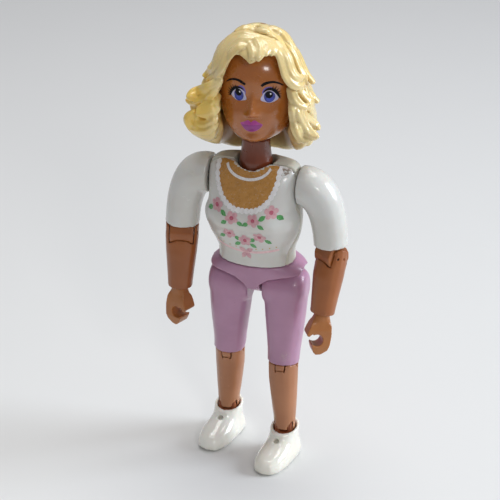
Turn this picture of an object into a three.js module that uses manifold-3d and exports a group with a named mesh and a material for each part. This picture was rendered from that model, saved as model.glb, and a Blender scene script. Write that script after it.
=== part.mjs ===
// Jointed plastic toy figure of a woman, standing, about 135 mm tall.
// Millimetres, +Z up, the figure faces -Y and +X is the figure's own left. The origin is on the
// ground, in the middle of the box that the standing figure fills.
// Every limb is drawn in its own frame, whose origin is the joint that carries it.
import * as THREE from 'three';
import { mergeVertices } from 'three/addons/utils/BufferGeometryUtils.js';
import Module from 'manifold-3d';

const wasm = await Module();
wasm.setup();

// Driving dimensions: clearances and walls
const GAP = 0.3;
const WALL = 1.6;
const LIMB_SIDES = 14;
const LIMB_STEPS = 2;
const ROUND_SIDES = 14;
const PIN_SIDES = 8;
const SMALL_SIDES = 8;

// Driving dimensions: heights between the joints, from the ground up
const ANKLE_HEIGHT = 11.4;
const SHIN_LENGTH = 19.8;
const THIGH_LENGTH = 24.4;
const WAIST_RISE = 9.4;
const NECK_LENGTH = 12.0;
const HEAD_HEIGHT = 28;

// Driving dimensions: place of the waist's axis over the ground
const FIGURE_X = 0.4;
const FIGURE_Y = 3.7;

// Driving dimensions: the pose that the figure stands in, in degrees
const STRIDE = 5.4;
const TORSO_TURN = -3;
const HEAD_TURN = 11;
const LEG_LEAN = 1.8;
const FOOT_TURN = -11.5;
const ARM_SPREAD = 3;
const LEFT_ELBOW_SWIVEL = 36;
const RIGHT_ELBOW_SWIVEL = 17;
const LEFT_ELBOW_BEND = 13;
const RIGHT_ELBOW_BEND = 1;
const LEFT_HAND_TWIST = 66;
const RIGHT_HAND_TWIST = 34;

// Driving dimensions: hips and legs
const HIP_RADIUS = 6.6;
const HIP_SPACING = 17.2;
const THIGH_INNER = 2.2;
const THIGH_DEPTH = 12.8;
const HEM_WIDTH = 9.8;
const HEM_DEPTH = 10.2;
const HEM_RISE = 0.4;
const KNEE_SPACING = 18.2;
const HIP_PIN_RADIUS = 1.2;
const KNEE_RADIUS = 3.5;
const KNEE_CHEEKS = 5.6;
const KNEE_TONGUE = 2.4;
const KNEE_STEM = 5;
const KNEE_BLADE = 1.4;
const KNEE_STEM_LENGTH = 7;
const SHIN_TOP_WIDTH = 9.2;
const SHIN_BOTTOM_WIDTH = 6.6;
const LEG_PIN_RADIUS = 1.0;
const SHIN_SPLAY = 1.1;
const ANKLE_TONGUE = 2.0;
const ANKLE_EAR = 1.2;
const ANKLE_DISC_RADIUS = 1.9;
const ANKLE_PIN_RADIUS = 0.6;
const SHIN_END_DROP = 1.7;
const PEG_COLLAR_DROP = 2.8;
const PEG_COLLAR_RADIUS = 3.3;
const PEG_COLLAR_THICKNESS = 1.2;
const PEG_RADIUS = 2.1;
const PEG_LENGTH = 4.6;

// Driving dimensions: shoes
const SHOE_LENGTH = 20.4;
const SHOE_HEEL_REACH = 5.2;
const SHOE_WIDTH = 10.4;
const SHOE_TOE_HEIGHT = 5.6;
const SHOE_COLLAR_FRONT = 8.9;
const SHOE_COLLAR_BACK = 11;
const SHOE_COLLAR_WALL = 0.8;
const INSTEP_HOLE_RADIUS = 0.9;
const INSTEP_HOLE_REACH = 6.4;
const SOLE_SOCKET_RADIUS = 2.45;
const SOLE_SOCKET_DEPTH = 1.7;
const SOLE_SOCKET_SPACING = 8;

// Driving dimensions: pelvis and waist
const PELVIS_WIDTH = 29.4;
const PELVIS_DEPTH = 18.6;
const SKIRT_SIDE = 5.8;
const APRON_TIP = 1.4;
const APRON_TIP_WIDTH = 2.6;
const SKIRT_BACK = 1.6;
const CROTCH_DROP = 2.4;
const WAIST_WIDTH = 23.8;
const WAIST_DEPTH = 19;
const WAIST_POST_RADIUS = 3.6;
const WAIST_FLANGE_RADIUS = 5.0;
const WAIST_FLANGE_THICKNESS = 1.4;

// Driving dimensions: torso
const TORSO_HEIGHT = 31.8;
const SHOULDER_DROP = 6.6;
const NECK_BALL_DROP = 5.2;
const CHEST_WIDTH = 28.8;
const CHEST_LEAN = -3;
const BUST_DEPTH = 1.5;
const SHOULDER_FACE = 13.5;
const BACK_TAPER = 0.012;
const SEAM_Y = -5.5;
const NECK_BALL_RADIUS = 5.05;
const NECK_STEM_RADIUS = 4.1;
const NECK_HOLE_RADIUS = 6.4;
const NECK_HOLE_Y = -3.1;
const SPIGOT_RADIUS = 2.9;
const SPIGOT_LENGTH = 8;
const NECK_Y = -3.0;

// Driving dimensions: arms
const SHOULDER_Y = -3;
const SHOULDER_RADIUS = 6.0;
const SHOULDER_PIN_RADIUS = 2.2;
const SHOULDER_HEAD_RADIUS = 3.2;
const SHOULDER_HEAD_THICKNESS = 1.2;
const SLEEVE_OUT = 9.2;
const SLEEVE_DROP = 17.0;
const SLEEVE_END_RADIUS = 4.95;
const ELBOW_DROP = 3.5;
const ELBOW_RADIUS = 3.7;
const ELBOW_WIDTH = 6.8;
const ELBOW_NECK_DEPTH = 5.8;
const FOREARM_LIP_DROP = 1.2;
const ELBOW_PIN_HOLD = 0.6;
const ELBOW_PEG_RADIUS = 2.5;
const ELBOW_PEG_LENGTH = 8;
const ELBOW_PIN_RADIUS = 1.0;
const FOREARM_LENGTH = 17.8;
const FOREARM_TOP_WIDTH = 9.9;
const FOREARM_TOP_DEPTH = 9.0;
const WRIST_WIDTH = 7.4;
const WRIST_RADIUS = 2.1;
const WRIST_PEG_RADIUS = 1.7;
const WRIST_PEG_LENGTH = 5;
const HAND_LENGTH = 12.4;
const HAND_WIDTH = 7.6;
const HAND_THICKNESS = 5.2;
const GRIP_RADIUS = 1.85;

// Driving dimensions: head and hair
const HEAD_WIDTH = 22.0;
const HEAD_BACK = 1.6;
const FACE_REACH = 8.9;
const SKULL_REACH = 9.9;
const HAIR_CLEARANCE = 0.55;
const HAIR_SEAM_Y = -2;
const HAIR_SIDES = 26;
const WAVE_DEPTH = 1.1;
const WAVE_PITCH = 7.2;
const LOCK_COUNT = 9;
const LOCK_DEPTH = 0.45;
const FRONT_HAIR_END = -1.2;
const HAIR_PEG_RADIUS = 1.1;

// Finishes of the mouldings
const plastic = (color, roughness) => new THREE.MeshStandardMaterial({ color, roughness, metalness: 0 });
const SHIRT_WHITE = plastic('#ebe8df', 0.28);
const SHELL_CREAM = plastic('#ded9c4', 0.32);
const SHORTS_LILAC = plastic('#c49bc4', 0.34);
const SKIN_BROWN = plastic('#a4683f', 0.36);
const SKIN_TAN = plastic('#b4835f', 0.38);
const PEG_BROWN = plastic('#8f3f22', 0.42);
const SHOE_WHITE = plastic('#ece9de', 0.16);
const HAIR_BLONDE = plastic('#e8cf86', 0.36);
const PIN_STEEL = new THREE.MeshStandardMaterial({ color: '#b9bbbd', roughness: 0.3, metalness: 1 });

// Plain geometry helpers
const TAU = Math.PI * 2;
const rad = THREE.MathUtils.degToRad;
const lerp = THREE.MathUtils.lerp;
const point = (x, y, z) => new THREE.Vector3(x, y, z);

// A closed surface from points and triangles, turned so that its faces point out
function closedSurface(points, triangles) {
  const volume = triangles.reduce((sum, [a, b, c]) => (
    sum + points[a].dot(points[b].clone().cross(points[c]))), 0);
  const faces = volume < 0 ? triangles.map(([a, b, c]) => [a, c, b]) : triangles;
  const geometry = new THREE.BufferGeometry().setFromPoints(points);
  geometry.setIndex(faces.flat());
  return geometry;
}

// Rings of equal count, skinned one to the next and closed at both ends
function loft(rings) {
  const points = rings.flat();
  const sides = rings[0].length;
  const triangles = [];
  for (let ring = 0; ring + 1 < rings.length; ring += 1) {
    for (let side = 0; side < sides; side += 1) {
      const a = ring * sides + side;
      const b = ring * sides + ((side + 1) % sides);
      triangles.push([a, b, b + sides], [a, b + sides, a + sides]);
    }
  }
  [0, rings.length - 1].forEach((ring) => {
    const centre = rings[ring].reduce((sum, p) => sum.add(p), point(0, 0, 0)).divideScalar(sides);
    const hub = points.push(centre) - 1;
    for (let side = 0; side < sides; side += 1) {
      const a = ring * sides + side;
      const b = ring * sides + ((side + 1) % sides);
      triangles.push(ring === 0 ? [hub, b, a] : [hub, a, b]);
    }
  });
  return closedSurface(points, triangles);
}

// One level of a limb: half-width, reach to the front and to the back, squareness, centre
const section = (z, halfWidth, front, back, square = 2, x = 0, y = 0) => (
  { z, halfWidth, front, back, square, x, y });

// A smooth run of levels through the given ones
function smooth(sections, steps) {
  const at = (i) => sections[THREE.MathUtils.clamp(i, 0, sections.length - 1)];
  const curve = (p, q, r, s, t) => 0.5 * (2 * q + (r - p) * t
    + (2 * p - 5 * q + 4 * r - s) * t * t + (3 * q - p - 3 * r + s) * t * t * t);
  const run = [];
  for (let i = 0; i + 1 < sections.length; i += 1) {
    for (let k = 0; k < steps; k += 1) {
      const blended = {};
      Object.keys(at(i)).forEach((key) => {
        blended[key] = curve(at(i - 1)[key], at(i)[key], at(i + 1)[key], at(i + 2)[key], k / steps);
      });
      run.push(blended);
    }
  }
  run.push(sections.at(-1));
  return run;
}

function ovalRing(level, sides) {
  const power = 2 / level.square;
  return Array.from({ length: sides }, (_, i) => {
    const across = Math.cos(TAU * i / sides);
    const along = Math.sin(TAU * i / sides);
    const reach = along < 0 ? level.front : level.back;
    return point(
      level.x + level.halfWidth * Math.sign(across) * Math.abs(across) ** power,
      level.y + reach * Math.sign(along) * Math.abs(along) ** power,
      level.z,
    );
  });
}

const ovalLoft = (sections, sides, steps, relief = (p) => p) => (
  loft(smooth(sections, steps).map((level) => ovalRing(level, sides).map(relief))));

// Solid work: a closed geometry becomes a solid, and a solid becomes a geometry again
function solid(geometry) {
  const bare = geometry.clone();
  bare.deleteAttribute('normal');
  bare.deleteAttribute('uv');
  const merged = mergeVertices(bare, 1e-4);
  const index = merged.index.array;
  const kept = [];
  for (let i = 0; i < index.length; i += 3) {
    const [a, b, c] = index.slice(i, i + 3);
    if (a !== b && b !== c && c !== a) kept.push(a, b, c);
  }
  return new wasm.Manifold(new wasm.Mesh({
    numProp: 3,
    vertProperties: Float32Array.from(merged.attributes.position.array),
    triVerts: Uint32Array.from(kept),
  }));
}

const join = (first, ...others) => others.reduce((body, other) => body.add(other), first);
const cut = (first, ...tools) => tools.reduce((body, tool) => body.subtract(tool), first);

// An outline seen from the front, as thick as from one y to another
function plate(outline, fromY, toY) {
  const form = new THREE.Shape(outline.map(([x, z]) => new THREE.Vector2(x, z)));
  const geometry = new THREE.ExtrudeGeometry(form, { depth: toY - fromY, bevelEnabled: false, steps: 1 });
  geometry.rotateX(Math.PI / 2);
  geometry.translate(0, toY, 0);
  return solid(geometry);
}

// The right-hand pieces are the left-hand ones seen in a mirror
function shape(body, side = 1) {
  const { vertProperties, triVerts } = body.getMesh();
  const geometry = new THREE.BufferGeometry();
  const places = Float32Array.from(vertProperties, (v, i) => (i % 3 === 0 ? v * side : v));
  geometry.setAttribute('position', new THREE.BufferAttribute(places, 3));
  const faces = Array.from(triVerts);
  if (side < 0) {
    for (let i = 0; i < faces.length; i += 3) [faces[i], faces[i + 1]] = [faces[i + 1], faces[i]];
  }
  geometry.setIndex(faces);
  geometry.computeVertexNormals();
  return geometry;
}

// Round bar or cone from one point to another
function rod(radius, start, end, sides = PIN_SIDES, endRadius = radius) {
  const length = start.distanceTo(end);
  const geometry = new THREE.CylinderGeometry(endRadius, radius, length, sides);
  const turn = new THREE.Quaternion().setFromUnitVectors(
    point(0, 1, 0),
    end.clone().sub(start).normalize(),
  );
  geometry.applyQuaternion(turn);
  const middle = start.clone().add(end).multiplyScalar(0.5);
  geometry.translate(middle.x, middle.y, middle.z);
  return solid(geometry);
}

const crossRod = (radius, x0, x1, y, z, sides = ROUND_SIDES) => (
  rod(radius, point(x0, y, z), point(x1, y, z), sides));
const uprightRod = (radius, z0, z1, x = 0, y = 0, sides = ROUND_SIDES, topRadius = radius) => (
  rod(radius, point(x, y, z0), point(x, y, z1), sides, topRadius));

function ball(radius, centre, sides = ROUND_SIDES) {
  const geometry = new THREE.SphereGeometry(radius, sides, sides / 2);
  geometry.rotateX(Math.PI / 2);
  geometry.translate(centre.x, centre.y, centre.z);
  return solid(geometry);
}

function block(low, high) {
  const size = high.clone().sub(low);
  const geometry = new THREE.BoxGeometry(size.x, size.y, size.z);
  const middle = low.clone().add(high).multiplyScalar(0.5);
  geometry.translate(middle.x, middle.y, middle.z);
  return solid(geometry);
}

// A form turned about the X axis, from pairs of place along X and radius
function turnedAboutX(profile, sides) {
  const geometry = new THREE.LatheGeometry(profile.map(([x, r]) => new THREE.Vector2(r, x)), sides);
  geometry.rotateZ(-Math.PI / 2);
  return solid(closedSurfaceOf(geometry));
}

// A lathe's or extrusion's triangles, welded and turned so that the faces point out
function closedSurfaceOf(geometry) {
  const bare = geometry.clone();
  bare.deleteAttribute('normal');
  bare.deleteAttribute('uv');
  const merged = mergeVertices(bare, 1e-4);
  const places = merged.attributes.position;
  const points = Array.from({ length: places.count }, (_, i) => point().fromBufferAttribute(places, i));
  const index = Array.from(merged.index.array);
  const triangles = [];
  for (let i = 0; i < index.length; i += 3) triangles.push(index.slice(i, i + 3));
  return closedSurface(points, triangles);
}

function piece(name, body, look, side = 1) {
  const mesh = new THREE.Mesh(shape(body, side), look);
  mesh.name = name;
  return mesh;
}

function frameAt(x, y, z) {
  const frame = new THREE.Group();
  frame.position.set(x, y, z);
  return frame;
}

// Places that several pieces share, each worked out from the driving dimensions
const SHOULDER_RISE = TORSO_HEIGHT - SHOULDER_DROP;
const NECK_BALL_RISE = TORSO_HEIGHT - NECK_BALL_DROP;
const HIP_X = HIP_SPACING / 2;
const KNEE_DRIFT = (KNEE_SPACING - HIP_SPACING) / 2;
const LEG_REACH = SHIN_LENGTH + THIGH_LENGTH * Math.cos(rad(LEG_LEAN));
const HIP_HEIGHT = ANKLE_HEIGHT + LEG_REACH * Math.cos(rad(STRIDE));
const TORSO_FLOOR = HIP_HEIGHT + WAIST_RISE;
const THIGH_HALF = HIP_X - THIGH_INNER;
const SHIN_TOP = HEM_RISE - 1.4 * GAP;
const SHIN_HALF = SHIN_TOP_WIDTH / 2;
const TONGUE_FRONT = SHIN_HALF - 0.05;
const SHOE_FLOOR = ANKLE_HEIGHT - PEG_COLLAR_DROP - PEG_COLLAR_THICKNESS - GAP;
const SHOE_BORE = PEG_COLLAR_RADIUS + GAP;
const PEG_BASE = ANKLE_HEIGHT - PEG_COLLAR_DROP - PEG_COLLAR_THICKNESS;

// Pelvis: a skirted cap over both thigh tops, a keel between them and the post of the waist
function makePelvis() {
  const half = PELVIS_WIDTH / 2;
  const front = PELVIS_DEPTH / 2;
  const waist = WAIST_WIDTH / 2;
  const top = WAIST_RISE - GAP;
  const skirt = solid(ovalLoft([
    section(SKIRT_BACK - 1, half - 1.0, front - 0.9, front - 0.4, 2.3),
    section(SKIRT_SIDE - 0.4, half - 0.1, front - 0.4, front + 0.2, 2.3),
    section(SKIRT_SIDE + 0.6, half, front - 0.1, front + 0.3, 2.3),
    section(SKIRT_SIDE + 2.0, lerp(waist, half, 0.7), front, front + 0.2, 2.2),
    section(top, waist, WAIST_DEPTH / 2, WAIST_DEPTH / 2 - 0.3, 2.1),
  ], 24, LIMB_STEPS));
  const hemSlope = Math.atan2(SKIRT_SIDE - SKIRT_BACK, front);
  const trim = new THREE.BoxGeometry(PELVIS_WIDTH * 2, PELVIS_DEPTH * 3, 10);
  trim.translate(0, 0, -5);
  trim.rotateX(-hemSlope);
  trim.translate(0, 0, SKIRT_SIDE);
  const backTrim = cut(solid(trim), block(point(-40, -40, -40), point(40, 0, 40)));
  const tip = APRON_TIP_WIDTH / 2;
  const rise = SKIRT_SIDE - APRON_TIP;
  const edge = [
    [tip, APRON_TIP],
    [tip + 1.0, APRON_TIP + rise * 0.36],
    [HIP_X * 0.55, APRON_TIP + rise * 0.78],
    [HIP_X, SKIRT_SIDE - 0.1],
    [half + 4, SKIRT_SIDE],
    [half + 4, -20],
  ];
  const frontTrim = plate([...edge, ...edge.map(([x, z]) => [-x, z]).reverse()], -half * 2, 0);
  const keelHalf = THIGH_INNER - 2 * GAP;
  const keelRadius = HIP_RADIUS;
  const keel = cut(
    crossRod(keelRadius, -keelHalf, keelHalf, 0, keelRadius - CROTCH_DROP, ROUND_SIDES),
    block(point(-10, -20, top - 1), point(10, 20, 20)),
  );
  const hollow = (side) => crossRod(
    HIP_RADIUS + 2 * GAP,
    side * keelHalf,
    side * PELVIS_WIDTH,
    0,
    0,
    ROUND_SIDES,
  );
  const post = join(
    uprightRod(WAIST_POST_RADIUS, top - 1, WAIST_RISE + WALL + 1),
    uprightRod(
      WAIST_FLANGE_RADIUS,
      WAIST_RISE + WALL + GAP,
      WAIST_RISE + WALL + GAP + WAIST_FLANGE_THICKNESS,
    ),
  );
  return cut(
    join(cut(skirt, frontTrim, backTrim, hollow(1), hollow(-1)), keel, post),
    crossRod(HIP_PIN_RADIUS + GAP, -HIP_X, HIP_X, 0, 0, PIN_SIDES),
  );
}

// One axle carries both thighs through the keel of the pelvis
const makeHipAxle = () => crossRod(HIP_PIN_RADIUS, -HIP_X - 2, HIP_X + 2, 0, 0, PIN_SIDES);

// Thigh moulded as the leg of a pair of shorts, open below for the knee
function makeThigh() {
  const hemHalf = HEM_WIDTH / 2;
  const deep = THIGH_DEPTH / 2;
  const hemDeep = HEM_DEPTH / 2;
  const hem = HEM_RISE - THIGH_LENGTH;
  const leg = solid(ovalLoft([
    section(hem, hemHalf, hemDeep, hemDeep, 2.1, KNEE_DRIFT),
    section(hem * 0.84, hemHalf + 0.15, hemDeep, hemDeep + 0.1, 2.1, KNEE_DRIFT - 0.1),
    section(hem * 0.55, THIGH_HALF - 0.7, deep - 0.6, deep - 0.2, 2.3, KNEE_DRIFT * 0.55),
    section(hem * 0.25, THIGH_HALF - 0.1, deep - 0.1, deep, 2.5, KNEE_DRIFT * 0.1),
    section(0, THIGH_HALF, HIP_RADIUS - 0.1, HIP_RADIUS - 0.1, 2.5),
  ], LIMB_SIDES, LIMB_STEPS));
  const crown = turnedAboutX([
    [-THIGH_HALF, 0],
    [-THIGH_HALF, HIP_RADIUS - 1.2],
    [-THIGH_HALF + 1.2, HIP_RADIUS - 0.2],
    [0, HIP_RADIUS],
    [THIGH_HALF * 0.55, HIP_RADIUS - 0.3],
    [THIGH_HALF * 0.86, HIP_RADIUS - 1.5],
    [THIGH_HALF, HIP_RADIUS - 3.4],
    [THIGH_HALF, 0],
  ], ROUND_SIDES + 2);
  const knee = -THIGH_LENGTH;
  const cheekRoom = KNEE_CHEEKS / 2 + GAP;
  const recess = crossRod(
    KNEE_RADIUS + GAP,
    KNEE_DRIFT - cheekRoom,
    KNEE_DRIFT + cheekRoom,
    0,
    knee,
    ROUND_SIDES,
  );
  const backNotch = rod(
    SHIN_HALF + GAP,
    point(KNEE_DRIFT, -GAP, knee),
    point(KNEE_DRIFT, THIGH_DEPTH, knee),
    ROUND_SIDES,
  );
  const stemRoom = KNEE_STEM / 2 + GAP;
  const stemHole = block(
    point(KNEE_DRIFT - stemRoom, -stemRoom, knee),
    point(KNEE_DRIFT + stemRoom, stemRoom, knee + KNEE_RADIUS + KNEE_STEM_LENGTH + GAP),
  );
  const hipBore = crossRod(HIP_PIN_RADIUS + 2 * GAP, -THIGH_HALF - 1, 2 + GAP, 0, 0, PIN_SIDES);
  return cut(join(leg, crown), recess, backNotch, stemHole, hipBore);
}

// Knee link: a stem fixed in the shorts and a disc that shows in front of the knee
function makeKneeLink() {
  const half = KNEE_TONGUE / 2;
  const stem = KNEE_STEM / 2;
  const disc = join(
    crossRod(KNEE_RADIUS - GAP, -half, half, 0, 0, ROUND_SIDES),
    cut(
      crossRod(TONGUE_FRONT, -half, half, 0, 0, ROUND_SIDES),
      block(point(-5, -10, 0.1), point(5, 10, 10)),
    ),
  );
  const post = join(
    block(point(-half, -KNEE_BLADE, 0), point(half, KNEE_BLADE, SHIN_HALF + 1)),
    block(
      point(-stem, -stem, SHIN_HALF + 2 * GAP),
      point(stem, stem, KNEE_RADIUS + KNEE_STEM_LENGTH),
    ),
  );
  return cut(join(disc, post), crossRod(LEG_PIN_RADIUS + GAP, -5, 5, 0, 0, PIN_SIDES));
}

const makeKneePin = () => {
  const half = KNEE_CHEEKS / 2 - GAP;
  return crossRod(LEG_PIN_RADIUS, -half, half, 0, 0, PIN_SIDES);
};

// Shin: two cheeks astride the knee link above, a slot for the ankle's ears below
function makeShin() {
  const foot = SHIN_BOTTOM_WIDTH / 2;
  const end = -(SHIN_LENGTH + SHIN_END_DROP);
  const middle = lerp(foot, SHIN_HALF, 0.35);
  const calf = solid(ovalLoft([
    section(end, foot, foot, foot, 2, SHIN_SPLAY),
    section(end * 0.85, foot + 0.1, foot + 0.1, foot + 0.2, 2, SHIN_SPLAY * 0.9),
    section(end * 0.7, middle, middle, SHIN_HALF - 0.5, 2, SHIN_SPLAY * 0.7),
    section(end * 0.55, SHIN_HALF - 0.6, SHIN_HALF - 0.6, SHIN_HALF, 2, SHIN_SPLAY * 0.5),
    section(end * 0.25, SHIN_HALF - 0.1, SHIN_HALF - 0.1, SHIN_HALF + 0.1, 2, SHIN_SPLAY * 0.1),
    section(SHIN_TOP, SHIN_HALF, SHIN_HALF, SHIN_HALF - 0.1, 2),
  ], LIMB_SIDES, 1));
  const cheeks = crossRod(KNEE_RADIUS, -KNEE_CHEEKS / 2, KNEE_CHEEKS / 2, 0, 0, ROUND_SIDES);
  const slot = KNEE_TONGUE / 2 + GAP;
  const tongueRoom = join(
    crossRod(TONGUE_FRONT + GAP, -slot, slot, 0, 0, ROUND_SIDES),
    block(point(-slot, -10, 0), point(slot, 10, 10)),
  );
  const ankle = -SHIN_LENGTH;
  const earRoom = (side) => {
    const inner = ANKLE_TONGUE / 2;
    const outer = inner + ANKLE_EAR + 2 * GAP;
    const reach = ANKLE_DISC_RADIUS + GAP;
    return join(
      crossRod(reach, SHIN_SPLAY + side * inner, SHIN_SPLAY + side * outer, 0, ankle, PIN_SIDES),
      block(
        point(SHIN_SPLAY + Math.min(side * inner, side * outer), -reach - 0.4, end - 1),
        point(SHIN_SPLAY + Math.max(side * inner, side * outer), reach + 0.4, ankle),
      ),
    );
  };
  const lug = crossRod(
    ANKLE_DISC_RADIUS,
    SHIN_SPLAY - ANKLE_TONGUE / 2,
    SHIN_SPLAY + ANKLE_TONGUE / 2,
    0,
    ankle,
    PIN_SIDES,
  );
  return cut(
    join(cut(join(calf, cheeks), earRoom(1), earRoom(-1)), lug),
    tongueRoom,
    crossRod(LEG_PIN_RADIUS + GAP, -10, 10, 0, 0, PIN_SIDES),
    crossRod(ANKLE_PIN_RADIUS + GAP, SHIN_SPLAY - 2.7, SHIN_SPLAY + 2.7, 0, ankle, SMALL_SIDES),
  );
}

// Ankle peg: two ears round the shin's lug, a collar and a round post that turns in the shoe
function makeAnklePeg() {
  const inner = ANKLE_TONGUE / 2 + GAP;
  const outer = inner + ANKLE_EAR;
  const ear = (side) => join(
    crossRod(ANKLE_DISC_RADIUS, side * inner, side * outer, 0, 0, PIN_SIDES),
    block(
      point(Math.min(side * inner, side * outer), -ANKLE_DISC_RADIUS, -PEG_COLLAR_DROP - 0.2),
      point(Math.max(side * inner, side * outer), ANKLE_DISC_RADIUS, 0),
    ),
  );
  const collarFloor = -PEG_COLLAR_DROP - PEG_COLLAR_THICKNESS;
  return cut(
    join(
      ear(1),
      ear(-1),
      uprightRod(PEG_COLLAR_RADIUS, collarFloor, -PEG_COLLAR_DROP),
      uprightRod(PEG_RADIUS, collarFloor - PEG_LENGTH + 1, -PEG_COLLAR_DROP - 0.2),
    ),
    crossRod(ANKLE_PIN_RADIUS + GAP, -5, 5, 0, 0, SMALL_SIDES),
  );
}

const makeAnklePin = () => {
  const half = ANKLE_TONGUE / 2 + GAP + ANKLE_EAR - 0.2;
  return crossRod(ANKLE_PIN_RADIUS, -half, half, 0, 0, SMALL_SIDES);
};

// Shoe: a smooth slip-on, narrower at the heel, with a cut collar and sockets in the sole
function makeShoe() {
  const half = SHOE_WIDTH / 2;
  const toe = SHOE_LENGTH - SHOE_HEEL_REACH;
  const heel = SHOE_HEEL_REACH;
  const collar = SHOE_BORE + SHOE_COLLAR_WALL;
  const high = SHOE_TOE_HEIGHT;
  const slim = (p) => {
    const forward = THREE.MathUtils.smoothstep(-p.y, -heel, toe * 0.6);
    const low = 1 - THREE.MathUtils.smoothstep(p.z, high, SHOE_COLLAR_FRONT);
    return point(p.x * lerp(1, lerp(0.86, 1, forward), low), p.y, p.z);
  };
  const upper = solid(ovalLoft([
    section(0, half - 0.6, toe - 0.8, heel - 0.4, 3),
    section(high * 0.18, half, toe, heel, 3),
    section(high * 0.5, half + 0.1, toe, heel, 2.9),
    section(high * 0.8, half - 0.3, toe - 1.5, heel - 0.1, 2.6),
    section(high * 1.02, collar + 0.3, toe - 5.4, heel - 0.2, 2.2),
    section(high * 1.25, collar + 0.1, toe - 8.9, heel - 0.3, 2.1),
    section(SHOE_COLLAR_FRONT, collar, collar + 0.5, heel - 0.4, 2),
    section(SHOE_COLLAR_BACK + 0.6, collar, collar, heel - 0.5, 2),
  ], LIMB_SIDES + 2, LIMB_STEPS, slim));
  const slope = Math.atan2(SHOE_COLLAR_BACK - SHOE_COLLAR_FRONT, collar * 2);
  const trim = new THREE.BoxGeometry(40, 60, 10);
  trim.translate(0, 0, 5);
  trim.rotateX(slope);
  trim.translate(0, 0, (SHOE_COLLAR_BACK + SHOE_COLLAR_FRONT) / 2);
  const instep = SHOE_COLLAR_FRONT - 1.2;
  const sockets = [0, 1].map((i) => uprightRod(
    SOLE_SOCKET_RADIUS,
    -1,
    SOLE_SOCKET_DEPTH,
    0,
    heel / 4 - i * SOLE_SOCKET_SPACING,
    PIN_SIDES,
  ));
  return cut(
    upper,
    solid(trim),
    uprightRod(SHOE_BORE, SHOE_FLOOR, SHOE_COLLAR_BACK + 2, 0, 0, ROUND_SIDES),
    uprightRod(PEG_RADIUS + GAP, PEG_BASE - PEG_LENGTH + 1 - GAP, SHOE_FLOOR + 1),
    rod(
      INSTEP_HOLE_RADIUS,
      point(0, -INSTEP_HOLE_REACH + 1.6, instep - 1.6),
      point(0, -INSTEP_HOLE_REACH - 1.6, instep + 2.4),
      SMALL_SIDES,
    ),
    ...sockets,
  );
}

// A leg hangs from the hip with the play of the axle; both soles stay level
function makeLeg(side, word) {
  const stride = -side * rad(STRIDE);
  const hip = frameAt(side * HIP_X, 0, HIP_HEIGHT);
  hip.rotation.set(stride, rad(LEG_LEAN), 0);
  hip.add(piece(`${word}_thigh`, makeThigh(), SHORTS_LILAC, side));
  const knee = frameAt(side * KNEE_DRIFT, 0, -THIGH_LENGTH);
  knee.add(piece(`${word}_knee_link`, makeKneeLink(), SKIN_TAN, side));
  knee.add(piece(`${word}_knee_pin`, makeKneePin(), PIN_STEEL, side));
  hip.add(knee);
  const lower = new THREE.Group();
  lower.rotation.y = -rad(LEG_LEAN);
  lower.add(piece(`${word}_shin`, makeShin(), SKIN_TAN, side));
  knee.add(lower);
  const ankle = frameAt(side * SHIN_SPLAY, 0, -SHIN_LENGTH);
  ankle.rotation.x = -stride;
  ankle.add(piece(`${word}_ankle_pin`, makeAnklePin(), PIN_STEEL, side));
  lower.add(ankle);
  const foot = new THREE.Group();
  foot.rotation.z = rad(FOOT_TURN);
  ankle.add(piece(`${word}_ankle_peg`, makeAnklePeg(), PEG_BROWN, side));
  const shoe = piece(`${word}_shoe`, makeShoe(), SHOE_WHITE, side);
  shoe.position.z = -ANKLE_HEIGHT;
  foot.add(shoe);
  ankle.add(foot);
  return hip;
}

// Levels of the torso above its floor, shared by the outside and the hollow inside
function torsoLevels(inset) {
  const half = CHEST_WIDTH / 2 - inset;
  const waist = WAIST_WIDTH / 2 - inset;
  const deep = WAIST_DEPTH / 2 - inset;
  const face = SHOULDER_FACE - inset;
  const tall = TORSO_HEIGHT;
  const lean = CHEST_LEAN;
  return [
    section(0, waist, deep, deep - 0.4, 2.1, 0, lean * 0.1),
    section(tall * 0.12, waist - 0.2, deep - 0.1, deep - 0.7, 2.1, 0, lean * 0.3),
    section(tall * 0.25, lerp(waist, half, 0.55), deep, deep - 0.6, 2.2, 0, lean * 0.6),
    section(tall * 0.38, half - 0.2, deep + 0.7, deep - 0.3, 2.3, 0, lean * 0.9),
    section(tall * 0.5, half, deep + 1.0, deep - 0.2, 2.4, 0, lean),
    section(tall * 0.6, face, deep + 0.6, deep, 2.7, 0, lean),
    section(tall * 0.76, face, deep - 0.8, deep - 0.2, 3.2, 0, lean),
    section(tall * 0.88, face, deep - 2.4, deep - 1.4, 3.2, 0, lean),
    section(tall * 0.96, face - 0.4, deep - 3.9, deep - 3.2, 2.8, 0, lean),
    section(tall, face - 2.0, deep - 5.4, deep - 5.0, 2.4, 0, lean),
  ];
}

// A soft swelling of the surface round one spot of the front
const swell = (p, x, z, wide, tall, height) => (
  height * Math.exp(-(((p.x - x) / wide) ** 2) - (((p.z - z) / tall) ** 2)));

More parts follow.
